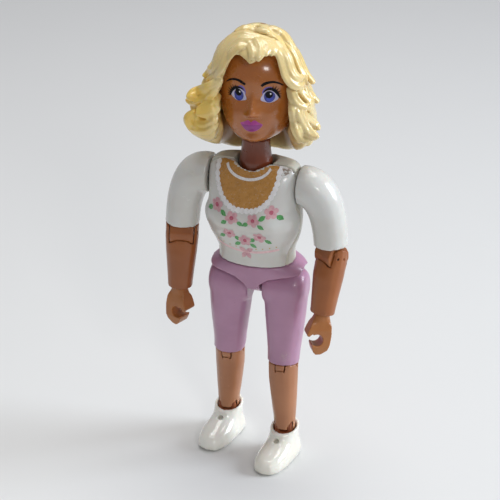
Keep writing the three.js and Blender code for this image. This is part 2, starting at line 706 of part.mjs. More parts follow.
// Torso: outside form, hollow inside, neck socket, shoulder holes and floor hole, in one body
function makeTorsoBody() {
  const bustZ = TORSO_HEIGHT * 0.47;
  const bust = (p) => {
    const low = 1 - THREE.MathUtils.smoothstep(p.z, TORSO_HEIGHT * 0.5, TORSO_HEIGHT * 0.62);
    const x = p.x * (1 - BACK_TAPER * low * (p.y - CHEST_LEAN));
    if (p.y > SEAM_Y + 1) return point(x, p.y, p.z);
    const lift = swell(p, CHEST_WIDTH * 0.2, bustZ, 4.6, 5, BUST_DEPTH)
      + swell(p, -CHEST_WIDTH * 0.2, bustZ, 4.6, 5, BUST_DEPTH);
    return point(x, p.y - lift, p.z);
  };
  const outside = solid(ovalLoft(torsoLevels(0), 24, LIMB_STEPS, bust));
  const hollow = torsoLevels(WALL).slice(0, 6).map((level) => (
    { ...level, z: WALL + level.z * 0.94 }));
  const inside = solid(ovalLoft(hollow, 12, 1));
  const neck = point(0, NECK_Y, NECK_BALL_RISE);
  const socket = ball(NECK_BALL_RADIUS + GAP, neck, ROUND_SIDES);
  const lip = NECK_BALL_RISE + 1.6;
  const throat = uprightRod(
    NECK_BALL_RADIUS - 0.1,
    lip,
    TORSO_HEIGHT + 0.6,
    0,
    NECK_HOLE_Y,
    20,
    NECK_HOLE_RADIUS,
  );
  const shoulders = [1, -1].map((side) => join(
    crossRod(
      SHOULDER_PIN_RADIUS + GAP,
      side * (SHOULDER_FACE - WALL - SHOULDER_HEAD_THICKNESS - GAP),
      side * (SHOULDER_FACE + 3),
      SHOULDER_Y,
      SHOULDER_RISE,
      ROUND_SIDES,
    ),
    crossRod(
      SHOULDER_HEAD_RADIUS + GAP,
      side * (SHOULDER_FACE - WALL - SHOULDER_HEAD_THICKNESS - 2 * GAP),
      side * (SHOULDER_FACE - WALL),
      SHOULDER_Y,
      SHOULDER_RISE,
      ROUND_SIDES,
    ),
  ));
  const floorHole = uprightRod(WAIST_POST_RADIUS + GAP, -1, WALL * 2, 0, 0);
  return cut(outside, inside, socket, throat, floorHole, ...shoulders);
}

// The torso comes apart at one upright plane: a cream back shell and a white front shell
function makeTorsoShells() {
  const body = makeTorsoBody();
  const seam = GAP / 2;
  const ahead = block(point(-40, -40, -10), point(40, SEAM_Y + seam, 60));
  const behind = block(point(-40, SEAM_Y - seam, -10), point(40, 40, 60));
  return { front: cut(body, behind), back: cut(body, ahead) };
}

// Neck: a ball in the torso's socket, a stem and a spigot that the head turns on
function makeNeckPost() {
  return join(
    ball(NECK_BALL_RADIUS, point(0, 0, 0), ROUND_SIDES),
    uprightRod(NECK_STEM_RADIUS, 0, NECK_LENGTH - GAP, 0, 0, 20),
    uprightRod(SPIGOT_RADIUS, NECK_LENGTH - 1, NECK_LENGTH + SPIGOT_LENGTH, 0, 0, 16),
  );
}

// Shoulder axle: trapped by its head inside the torso, fixed in the arm
function makeShoulderAxle() {
  const head = -GAP - WALL - SHOULDER_HEAD_THICKNESS - GAP;
  return join(
    crossRod(SHOULDER_PIN_RADIUS, head, SHOULDER_RADIUS - 1, 0, 0, ROUND_SIDES),
    crossRod(SHOULDER_HEAD_RADIUS, head, head + SHOULDER_HEAD_THICKNESS, 0, 0, ROUND_SIDES),
  );
}

// Upper arm: a puffed short sleeve that leaves the shoulder sideways and bends down
function makeSleeve() {
  const end = point(SLEEVE_OUT, 0, -SLEEVE_DROP);
  const outward = point(Math.sin(rad(ARM_SPREAD)), 0, -Math.cos(rad(ARM_SPREAD)));
  const route = new THREE.CubicBezierCurve3(
    point(0, 0, 0),
    point(4.6, 0, 0.6),
    end.clone().addScaledVector(outward, -13),
    end,
  );
  const steps = 9;
  const widths = [5.7, 6.05, 5.9, 5.6, 5.3, 5.1, SLEEVE_END_RADIUS];
  const rings = Array.from({ length: steps + 1 }, (_, i) => {
    const t = i / steps;
    const centre = route.getPoint(t);
    const along = i === steps ? outward : route.getTangent(t);
    const across = i === 0 ? point(0, 0, 1) : point(-along.z, 0, along.x);
    const spot = t * (widths.length - 1);
    const left = Math.min(Math.floor(spot), widths.length - 2);
    const radius = lerp(widths[left], widths[left + 1], spot - left);
    return Array.from({ length: LIMB_SIDES }, (_unused, s) => {
      const a = TAU * s / LIMB_SIDES;
      return centre.clone()
        .addScaledVector(across, radius * Math.cos(a))
        .add(point(0, radius * Math.sin(a), 0));
    });
  });
  return cut(
    solid(loft(rings)),
    crossRod(SHOULDER_PIN_RADIUS + GAP, -1, SHOULDER_RADIUS - 1 + GAP, 0, 0, ROUND_SIDES),
    rod(
      ELBOW_PEG_RADIUS + GAP,
      end.clone().addScaledVector(outward, 1),
      end.clone().addScaledVector(outward, -ELBOW_PEG_LENGTH - GAP),
      ROUND_SIDES,
    ),
  );
}

// Elbow knuckle: a round peg that swivels in the sleeve and a drum that the forearm folds on
function makeElbowKnuckle() {
  const half = ELBOW_WIDTH / 2;
  const drum = crossRod(ELBOW_RADIUS, -half, half, 0, 0, ROUND_SIDES);
  const neck = ELBOW_NECK_DEPTH / 2;
  const upper = solid(ovalLoft([
    section(0, half + 0.4, neck, neck, 3),
    section(ELBOW_DROP - GAP, half + 0.4, neck, neck, 3),
  ], ROUND_SIDES, 1));
  const sides = (side) => block(
    point(Math.min(side * half, side * 10), -10, -10),
    point(Math.max(side * half, side * 10), 10, 10),
  );
  const top = block(point(-10, -10, ELBOW_DROP - GAP), point(10, 10, 10));
  return cut(
    join(
      cut(join(drum, upper), sides(1), sides(-1), top),
      uprightRod(ELBOW_PEG_RADIUS, 0, ELBOW_DROP + ELBOW_PEG_LENGTH, 0, 0, ROUND_SIDES),
    ),
    crossRod(ELBOW_PIN_RADIUS + GAP, -10, 10, 0, 0, PIN_SIDES),
  );
}

const makeElbowPin = () => {
  const half = ELBOW_WIDTH / 2 + GAP + ELBOW_PIN_HOLD;
  return crossRod(ELBOW_PIN_RADIUS, -half, half, 0, 0, PIN_SIDES);
};

// Forearm: two ears beside the knuckle, a scooped cup below it, tapering to the wrist
function makeForearm() {
  const half = FOREARM_TOP_WIDTH / 2;
  const deep = FOREARM_TOP_DEPTH / 2;
  const wrist = WRIST_WIDTH / 2;
  const end = -FOREARM_LENGTH;
  const arm = solid(ovalLoft([
    section(end, wrist, wrist - 0.1, wrist - 0.1, 2),
    section(end * 0.7, lerp(wrist, half, 0.35), lerp(wrist, deep, 0.4), lerp(wrist, deep, 0.4), 2),
    section(end * 0.35, lerp(wrist, half, 0.8), deep - 0.1, deep, 2.1),
    section(end * 0.12, half, deep - 0.6, deep, 2.2),
    section(0, half, deep - 1.2, deep, 2.2),
    section(ELBOW_DROP, half, deep - 1.4, deep - 0.2, 2.2),
  ], LIMB_SIDES, 1));
  const room = ELBOW_WIDTH / 2 + GAP;
  const pinRoom = room + ELBOW_PIN_HOLD + GAP;
  const cup = join(
    crossRod(ELBOW_RADIUS + GAP, -room, room, 0, 0, ROUND_SIDES),
    block(point(-room, -10, 0), point(room, 10, 10)),
  );
  const earTop = ELBOW_DROP - 2 * GAP;
  const earRound = cut(
    block(point(-10, -10, 0), point(10, 10, 10)),
    crossRod(earTop, -11, 11, 0, 0, ROUND_SIDES),
  );
  const frontLip = cut(
    block(point(-20, -20, -FOREARM_LIP_DROP), point(20, 0, 20)),
    crossRod(earTop, -11, 11, 0, 0, ROUND_SIDES),
  );
  return cut(
    arm,
    cup,
    earRound,
    frontLip,
    crossRod(ELBOW_PIN_RADIUS + GAP, -pinRoom, pinRoom, 0, 0, PIN_SIDES),
    uprightRod(WRIST_PEG_RADIUS + GAP, end - 1, end + WRIST_PEG_LENGTH + GAP, 0, 0, PIN_SIDES),
  );
}

// Hand: a wrist peg, a palm, a short thumb and fingers curled into an open hook that grips a rod
const HAND_OUTLINE = [
  [2.1, 0], [2.3, -0.08], [3.0, -0.27], [3.3, -0.5], [3.2, -0.72], [2.7, -0.87], [1.0, -0.98],
  [-0.6, -1.0], [-1.5, -0.93], [-2.1, -0.79], [-2.0, -0.74], [-0.7, -0.58], [-2.4, -0.48],
  [-3.2, -0.55], [-3.8, -0.55], [-4.0, -0.5], [-3.1, -0.26], [-2.2, -0.06], [-2.1, 0],
];

function makeHand() {
  const thick = HAND_THICKNESS / 2;
  const tall = HAND_LENGTH;
  const outline = plate(HAND_OUTLINE.map(([x, share]) => [x, tall * share - GAP]), -HAND_WIDTH, HAND_WIDTH);
  const swelling = solid(ovalLoft([
    section(-tall - 1, HAND_WIDTH, thick - 0.7, thick - 0.7, 4),
    section(-tall * 0.8, HAND_WIDTH, thick, thick, 4),
    section(-tall * 0.4, HAND_WIDTH, thick - 0.1, thick - 0.1, 4),
    section(-tall * 0.2, 3.0, WRIST_RADIUS, WRIST_RADIUS, 3),
    section(0, WRIST_RADIUS, WRIST_RADIUS - 0.1, WRIST_RADIUS - 0.1, 2),
  ], 16, 1));
  return cut(
    join(outline.intersect(swelling), uprightRod(WRIST_PEG_RADIUS, -1, WRIST_PEG_LENGTH, 0, 0, PIN_SIDES)),
    rod(GRIP_RADIUS, point(-0.9, -10, -tall * 0.65), point(-0.9, 10, -tall * 0.65), ROUND_SIDES),
  );
}

// An arm hangs from its axle at the shoulder; the elbow turns inward before it bends
function makeArm(side, word, swivel, elbowBend, handTwist) {
  const shoulder = frameAt(
    side * (SHOULDER_FACE + GAP),
    SHOULDER_Y,
    SHOULDER_RISE,
  );
  shoulder.add(piece(`${word}_shoulder_axle`, makeShoulderAxle(), PIN_STEEL, side));
  shoulder.add(piece(`${word}_sleeve`, makeSleeve(), SHIRT_WHITE, side));
  const spread = rad(ARM_SPREAD);
  const elbow = frameAt(
    side * (SLEEVE_OUT + ELBOW_DROP * Math.sin(spread)),
    0,
    -SLEEVE_DROP - ELBOW_DROP * Math.cos(spread),
  );
  elbow.rotation.y = -side * spread;
  shoulder.add(elbow);
  const turned = new THREE.Group();
  turned.rotation.z = -side * rad(swivel);
  turned.add(piece(`${word}_elbow_knuckle`, makeElbowKnuckle(), SKIN_BROWN, side));
  turned.add(piece(`${word}_elbow_pin`, makeElbowPin(), PIN_STEEL, side));
  elbow.add(turned);
  const lower = new THREE.Group();
  lower.rotation.x = -rad(elbowBend);
  lower.add(piece(`${word}_forearm`, makeForearm(), SKIN_BROWN, side));
  turned.add(lower);
  const hand = piece(`${word}_hand`, makeHand(), SKIN_BROWN, side);
  hand.position.z = -FOREARM_LENGTH;
  hand.rotation.z = side * rad(handTwist);
  lower.add(hand);
  return shoulder;
}

// Head: rings from under the chin to the crown, with the features of the face raised on them
function headLevels(grow) {
  const half = HEAD_WIDTH / 2 + grow;
  const face = FACE_REACH + grow;
  const skull = SKULL_REACH + grow;
  const tall = HEAD_HEIGHT + grow;
  return [
    section(-grow, 4.4 + grow, face - 2.2, 4.4, 2),
    section(tall * 0.035, half * 0.64, face - 0.8, skull - 4.6, 2),
    section(tall * 0.11, half * 0.82, face - 0.3, skull - 3.2, 2),
    section(tall * 0.22, half * 0.93, face, skull - 1.9, 2.1),
    section(tall * 0.36, half * 0.97, face + 0.1, skull - 0.7, 2.1),
    section(tall * 0.5, half, face - 0.2, skull, 2.1),
    section(tall * 0.64, half, face, skull + 0.2, 2.1),
    section(tall * 0.78, half * 0.93, face - 0.5, skull - 0.5, 2.1),
    section(tall * 0.89, half * 0.76, face - 2.2, skull - 2.1, 2),
    section(tall * 0.965, half * 0.5, face - 4.6, skull - 4.5, 2),
    section(tall, half * 0.16, face - 7.8, skull - 7.8, 2),
  ].map((level) => ({ ...level, y: HEAD_BACK }));
}

// Raised and sunk spots of the face, as shares of the head's height above the chin
function faceRelief(p) {
  if (p.y > HEAD_BACK) return p;
  const z = p.z / HEAD_HEIGHT;
  const spot = (x, level, wide, tall, height) => (
    swell({ x: p.x, z }, x, level, wide, tall, height));
  const lift = spot(0, 0.34, 1.3, 0.045, 1.9)
    + spot(0, 0.42, 1.0, 0.08, 0.8)
    + spot(0, 0.2, 2.6, 0.045, 0.7)
    + spot(0, 0.06, 2.6, 0.05, 0.6)
    + spot(5.0, 0.3, 2.6, 0.09, 0.4)
    + spot(-5.0, 0.3, 2.6, 0.09, 0.4)
    + spot(4.1, 0.61, 2.8, 0.05, 0.35)
    + spot(-4.1, 0.61, 2.8, 0.05, 0.35)
    - spot(4.2, 0.51, 2.4, 0.05, 0.7)
    - spot(-4.2, 0.51, 2.4, 0.05, 0.7);
  return point(p.x, p.y - lift, p.z);
}

function makeHead() {
  const skull = solid(ovalLoft(headLevels(0), 24, LIMB_STEPS, faceRelief));
  const bore = uprightRod(SPIGOT_RADIUS + GAP, -5, SPIGOT_LENGTH + GAP, 0, 0, ROUND_SIDES);
  return cut(skull, bore);
}

// Hair: levels of the whole head of hair, from its lowest ends behind the neck to the crown
const hairLevel = (share, ...form) => section(HEAD_HEIGHT * share, ...form);
const HAIR_LEVELS = [
  hairLevel(-0.264, 8.4, 1.4, 4.0, 2, 0, 10.0),
  hairLevel(-0.207, 11.4, 2.4, 6.2, 2, 0, 8.6),
  hairLevel(-0.121, 13.6, 6.0, 10.2, 2, 0, 4.8),
  hairLevel(-0.05, 15.2, 10.4, 12.0, 2.1, -0.4, HEAD_BACK),
  hairLevel(0.036, 17.6, 11.0, 12.4, 2.2, -1.2, HEAD_BACK),
  hairLevel(0.121, 17.4, 11.0, 12.2, 2.2, -1.2, HEAD_BACK),
  hairLevel(0.207, 17.4, 11.0, 12.2, 2.2, -1.2, HEAD_BACK),
  hairLevel(0.293, 17.4, 11.0, 12.0, 2.1, -1.2, HEAD_BACK),
  hairLevel(0.379, 16.8, 11.0, 12.0, 2.1, -1.0, HEAD_BACK),
  hairLevel(0.464, 15.4, 11.0, 11.8, 2.1, -0.6, HEAD_BACK),
  hairLevel(0.55, 14.6, 11.4, 11.6, 2, -0.3, HEAD_BACK),
  hairLevel(0.657, 13.6, 11.8, 11.4, 2, -0.2, HEAD_BACK),
  hairLevel(0.771, 12.4, 12.2, 11.0, 2, 0, HEAD_BACK),
  hairLevel(0.893, 10.8, 12.2, 10.2, 2, 0, HEAD_BACK),
  hairLevel(0.993, 8.9, 10.8, 8.8, 2, 0, HEAD_BACK),
  hairLevel(1.071, 6.4, 7.2, 6.6, 2, 0, HEAD_BACK),
  hairLevel(1.129, 2.8, 2.8, 3.0, 2, 0, HEAD_BACK),
];

// Waves round the hair and grooves down between its locks, as a change of reach
function hairWave(p) {
  const bearing = Math.atan2(p.x, HEAD_BACK - p.y);
  const side = Math.sin(bearing) ** 2;
  const low = 1 - THREE.MathUtils.smoothstep(p.z, 13, 25);
  const crest = p.x < 0 ? 9.0 : 12.1;
  const rolls = Math.cos(TAU * (p.z - crest - 1.4 * Math.cos(2 * bearing)) / WAVE_PITCH);
  const locks = Math.cos(LOCK_COUNT * bearing + 0.12 * p.z);
  const ends = THREE.MathUtils.smoothstep(p.z, -9, -3);
  return WAVE_DEPTH * rolls * low * lerp(0.45, 1, side) * ends + LOCK_DEPTH * locks;
}

function waved(p) {
  const out = point(p.x, p.y - HEAD_BACK, 0);
  const reach = out.length();
  const share = Math.min(1, reach / 6);
  return p.clone().addScaledVector(out.normalize(), hairWave(p) * share);
}

// Outline of the face opening seen from the front: two arches with a fringe tip between them
const HAIRLINE = [
  [-12.6, -0.72], [-12.4, -0.1], [-10.0, 0.11], [-9.9, 0.32], [-9.9, 0.5], [-9.2, 0.68], [-7.8, 0.83],
  [-5.4, 0.94], [-3.2, 0.965], [-1.6, 0.925], [-0.4, 0.888], [1.0, 0.9], [2.4, 0.95],
  [4.4, 0.972], [6.8, 0.93], [8.9, 0.82], [10.0, 0.69], [10.6, 0.54], [10.9, 0.36], [10.8, 0.14],
  [13.0, -0.1], [13.2, -0.72],
];

function makeHairBody() {
  const outside = solid(ovalLoft(HAIR_LEVELS, HAIR_SIDES, 1, waved));
  const head = solid(ovalLoft(headLevels(HAIR_CLEARANCE), 20, 1));
  const nape = solid(ovalLoft([
    section(-20, 12.0, 30, 9.4, 2, 0, HEAD_BACK),
    section(-5, 11.2, 30, 9.0, 2, 0, HEAD_BACK),
    section(2, 9.4, 10, 8.6, 2, 0, HEAD_BACK),
    section(8, 8.6, 8, 8.4, 2, 0, HEAD_BACK),
  ], 16, 1));
  const line = new THREE.Shape(HAIRLINE.map(([x, share]) => new THREE.Vector2(x, HEAD_HEIGHT * share)));
  const opening = new THREE.ExtrudeGeometry(line, { depth: 30, bevelEnabled: false, steps: 1 });
  opening.rotateX(Math.PI / 2);
  opening.translate(0, -3, 0);
  const underFront = block(point(-40, -40, -30), point(40, HAIR_SEAM_Y + 1, FRONT_HAIR_END));
  return cut(outside, head, nape, solid(closedSurfaceOf(opening)), underFront);
}

function makeHairShells() {
  const body = makeHairBody();
  const seam = GAP / 2;
  const ahead = block(point(-40, -40, -20), point(40, HAIR_SEAM_Y + seam, 60));
  const behind = block(point(-40, HAIR_SEAM_Y - seam, -20), point(40, 40, 60));
  const hole = uprightRod(HAIR_PEG_RADIUS, HEAD_HEIGHT + 1.4, HEAD_HEIGHT + 20, 0, 1.2, SMALL_SIDES);
  return { front: cut(body, behind), back: cut(body, ahead, hole) };
}

// The whole figure, standing in a short stride
const figure = new THREE.Group();
figure.position.set(FIGURE_X, FIGURE_Y, 0);
const hipFrame = frameAt(0, 0, HIP_HEIGHT);
hipFrame.add(piece('pelvis', makePelvis(), SHORTS_LILAC));
hipFrame.add(piece('hip_axle', makeHipAxle(), PIN_STEEL));
figure.add(hipFrame);
figure.add(makeLeg(1, 'left'));
figure.add(makeLeg(-1, 'right'));

const torso = frameAt(0, 0, TORSO_FLOOR);
torso.rotation.z = rad(TORSO_TURN);
const torsoShells = makeTorsoShells();
torso.add(piece('torso_front', torsoShells.front, SHIRT_WHITE));
torso.add(piece('torso_back', torsoShells.back, SHELL_CREAM));
torso.add(makeArm(1, 'left', LEFT_ELBOW_SWIVEL, LEFT_ELBOW_BEND, LEFT_HAND_TWIST));
torso.add(makeArm(-1, 'right', RIGHT_ELBOW_SWIVEL, RIGHT_ELBOW_BEND, RIGHT_HAND_TWIST));
figure.add(torso);

const neck = frameAt(0, NECK_Y, NECK_BALL_RISE);
neck.add(piece('neck_post', makeNeckPost(), SKIN_BROWN));
const head = frameAt(0, 0, NECK_LENGTH);
head.rotation.z = rad(HEAD_TURN);
head.add(piece('head', makeHead(), SKIN_BROWN));
const hairShells = makeHairShells();
head.add(piece('hair_front', hairShells.front, HAIR_BLONDE));
head.add(piece('hair_back', hairShells.back, HAIR_BLONDE));
neck.add(head);
torso.add(neck);

export default figure;
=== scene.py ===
"""Looks of a jointed plastic toy figure, dressed round its packed mechanical frame."""
import logging
import math
from dataclasses import dataclass
from enum import Enum
from typing import Any, Iterable, Sequence

import bmesh
import bpy
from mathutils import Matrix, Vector
from mathutils.bvhtree import BVHTree
from mathutils.kdtree import KDTree


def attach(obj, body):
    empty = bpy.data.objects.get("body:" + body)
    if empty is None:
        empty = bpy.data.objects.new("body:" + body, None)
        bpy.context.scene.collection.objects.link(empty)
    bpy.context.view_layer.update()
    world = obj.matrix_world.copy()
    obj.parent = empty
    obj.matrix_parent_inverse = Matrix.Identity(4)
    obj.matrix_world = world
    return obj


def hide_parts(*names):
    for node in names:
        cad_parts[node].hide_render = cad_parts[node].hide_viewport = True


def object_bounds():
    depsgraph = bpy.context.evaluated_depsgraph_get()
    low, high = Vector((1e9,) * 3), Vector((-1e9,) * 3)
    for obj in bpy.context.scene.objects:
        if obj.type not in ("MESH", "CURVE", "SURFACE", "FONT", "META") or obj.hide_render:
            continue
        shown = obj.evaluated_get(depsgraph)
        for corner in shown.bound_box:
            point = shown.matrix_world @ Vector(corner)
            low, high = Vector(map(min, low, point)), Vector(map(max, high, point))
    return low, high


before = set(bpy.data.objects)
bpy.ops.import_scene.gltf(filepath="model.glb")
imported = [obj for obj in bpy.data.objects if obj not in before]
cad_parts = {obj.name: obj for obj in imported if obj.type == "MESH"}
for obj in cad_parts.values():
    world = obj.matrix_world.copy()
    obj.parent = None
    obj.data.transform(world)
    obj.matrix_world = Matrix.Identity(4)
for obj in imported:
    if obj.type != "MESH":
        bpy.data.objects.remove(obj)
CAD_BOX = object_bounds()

LOG = logging.getLogger("figure")
MM = 0.001
Point2 = tuple[float, float]
Point3 = tuple[float, float, float]
Colour = Point3


# ---------------------------------------------------------------- shader graph


class Math(Enum):
    """Math operations that the overloaded operators use."""

    ADD = "ADD"
    SUBTRACT = "SUBTRACT"
    MULTIPLY = "MULTIPLY"
    DIVIDE = "DIVIDE"
    POWER = "POWER"
    MAXIMUM = "MAXIMUM"
    SINE = "SINE"


class Graph:
    """Node tree of one material, with a single way to add any node."""

    def __init__(self, tree: bpy.types.NodeTree) -> None:
        """Keeps the tree.

        Args:
            tree: Node tree that the nodes go into.
        """
        self.tree = tree

    @classmethod
    def of_material(cls, name: str) -> tuple[bpy.types.Material, "Graph"]:
        """Makes a material with an empty node tree.

        Args:
            name: Name of the material.

        Returns:
            The material and its graph.
        """
        material = bpy.data.materials.new(name)
        material.use_nodes = True
        material.node_tree.nodes.clear()
        return material, cls(material.node_tree)

    def node(self, kind: str, settings: dict[str, Any] | None = None, **inputs: Any
             ) -> bpy.types.Node:
        """Adds a node of any type.

        Args:
            kind: Node type without the ShaderNode prefix.
            settings: Properties that are set before the sockets.
            inputs: Socket values or links; spaces in socket names are underscores, and _N is socket N.

        Returns:
            The new node.
        """
        made = self.tree.nodes.new("ShaderNode" + kind)
        for key, value in (settings or {}).items():
            setattr(made, key, value)
        for name, value in inputs.items():
            place = int(name[1:]) if name[0] == "_" else name.replace("_", " ")
            socket = made.inputs[place]
            if isinstance(value, Value):
                self.tree.links.new(value.socket, socket)
            elif socket.type == "RGBA" and len(value) == 3:
                socket.default_value = (*value, 1.0)
            else:
                socket.default_value = value
        return made

    def value(self, made: bpy.types.Node, output: str | int = 0) -> "Value":
        """Wraps an output of a node.

        Args:
            made: Node to read.
            output: Name or number of its output.

        Returns:
            The output as a value.
        """
        return Value(self, made.outputs[output])

    def place(self) -> "Value":
        """Returns the object coordinates."""
        return self.value(self.node("TexCoord"), "Object")

    def axis(self, name: str) -> "Value":
        """Returns one object coordinate in metres, X, Y or Z."""
        return self.value(self.node("SeparateXYZ", Vector=self.place()), name)

    def noise(self, scale: float, detail: float = 3.0, roughness: float = 0.55) -> "Value":
        """Returns plain noise in object space, scale in features per metre."""
        made = self.node(
            "TexNoise", Vector=self.place(), Scale=scale, Detail=detail, Roughness=roughness)
        return self.value(made, "Fac")

    def cells(self, scale: float) -> "Value":
        """Returns the distance to scattered points, scale in points per metre."""
        return self.value(self.node("TexVoronoi", Vector=self.place(), Scale=scale), "Distance")

    def crevice(self) -> "Value":
        """Returns pointiness: under one half in grooves and over it on edges."""
        return self.value(self.node("NewGeometry"), "Pointiness")

    def mix(self, factor: "Value | float", low: Any, high: Any) -> "Value":
        """Blends two colours.

        Args:
            factor: 0 gives low, 1 gives high.
            low: Colour or link.
            high: Colour or link.

        Returns:
            The blended colour.
        """
        made = self.node("Mix", {"data_type": "RGBA"}, _0=factor, _6=low, _7=high)
        return self.value(made, 2)


class Value:
    """A shader output that can be used in Python arithmetic."""

    def __init__(self, graph: Graph, socket: bpy.types.NodeSocket) -> None:
        """Wraps a socket.

        Args:
            graph: Graph that the socket belongs to.
            socket: Output socket.
        """
        self.graph = graph
        self.socket = socket

    def _math(self, operation: Math, other: "Value | float | None" = None, turned: bool = False) -> "Value":
        """Adds one Math node.

        Args:
            operation: What the node works out.
            other: Second operand, if there is one.
            turned: Whether the second operand comes first.

        Returns:
            The result.
        """
        pair = {"_0": self} if other is None else {"_0": self, "_1": other}
        if turned:
            pair = {"_0": other, "_1": self}
        return self.graph.value(self.graph.node("Math", {"operation": operation.value}, **pair))

    def __add__(self, other: "Value | float") -> "Value":
        """Returns the sum."""
        return self._math(Math.ADD, other)

    __radd__ = __add__

    def __sub__(self, other: "Value | float") -> "Value":
        """Returns the difference."""
        return self._math(Math.SUBTRACT, other)

    def __rsub__(self, other: float) -> "Value":
        """Returns the difference from a number."""
        return self._math(Math.SUBTRACT, other, turned=True)

    def __mul__(self, other: "Value | float") -> "Value":
        """Returns the product."""
        return self._math(Math.MULTIPLY, other)

    def __truediv__(self, other: "Value | float") -> "Value":
        """Returns the quotient."""
        return self._math(Math.DIVIDE, other)

    def __pow__(self, other: "Value | float") -> "Value":
        """Returns the power."""
        return self._math(Math.POWER, other)

    def most(self, other: "Value | float") -> "Value":
        """Returns the greater of two."""
        return self._math(Math.MAXIMUM, other)

    def wave(self) -> "Value":
        """Returns the sine."""
        return self._math(Math.SINE)

    def between(self, low: float, high: float) -> "Value":
        """Returns a smooth rise from 0 at low to 1 at high, or a fall where high is the lesser."""
        settings = {"interpolation_type": "SMOOTHSTEP", "clamp": True}
        if low < high:
            return self.graph.value(self.graph.node(
                "MapRange", settings, Value=self, From_Min=low, From_Max=high))
        return 1.0 - self.between(high, low)


# ---------------------------------------------------------------- finishes

# Sizes of the noise in features per metre
CLOUD_SCALE = 85
PATCH_SCALE = 260
RIPPLE_SCALE = 420
SPECK_SCALE = 620
GRAIN_SCALE = 1500

# Values that all plastics share, the first two in metres
SCRATCH_DEPTH = 0.01 * MM
SCATTER_REACH = 1.2 * MM
COAT_ROUGHNESS = 0.12
PLASTIC_IOR = 1.49


@dataclass(frozen=True)
class WearAndShadeSpot:
    """A spot that a finish shows at one place: wear, yellowing or a stain on most pieces, and painted shade
    at two places on the hair.

    Args:
        at: Middle in millimetres.
        reach: Half-sizes in millimetres.
        colour: Colour of the spot.
        amount: How far it covers, 0 to 1.
        grain: Size of its speckles in millimetres, 0 for a solid spot.
    """

    at: Point3
    reach: Point3
    colour: Colour
    amount: float = 0.8
    grain: float = 0.5


@dataclass(frozen=True)
class Finish:
    """Look of a piece, built once and then shared.

    Args:
        name: Name of the material.
        slot: The record's slot that it belongs to; not used.
    """

    name: str
    slot: str

    def build(self) -> bpy.types.Material:
        """Returns the material."""
        if self.name in bpy.data.materials:
            return bpy.data.materials[self.name]
        material, graph = Graph.of_material(self.name)
        graph.node("OutputMaterial", Surface=graph.value(self.shader(graph)))
        return material

    def shader(self, graph: Graph) -> bpy.types.Node:
        """Makes the surface shader, in a way of its own for each kind of finish.

        Args:
            graph: Graph of the material.

        Returns:
            The shader node.
        """
        raise NotImplementedError


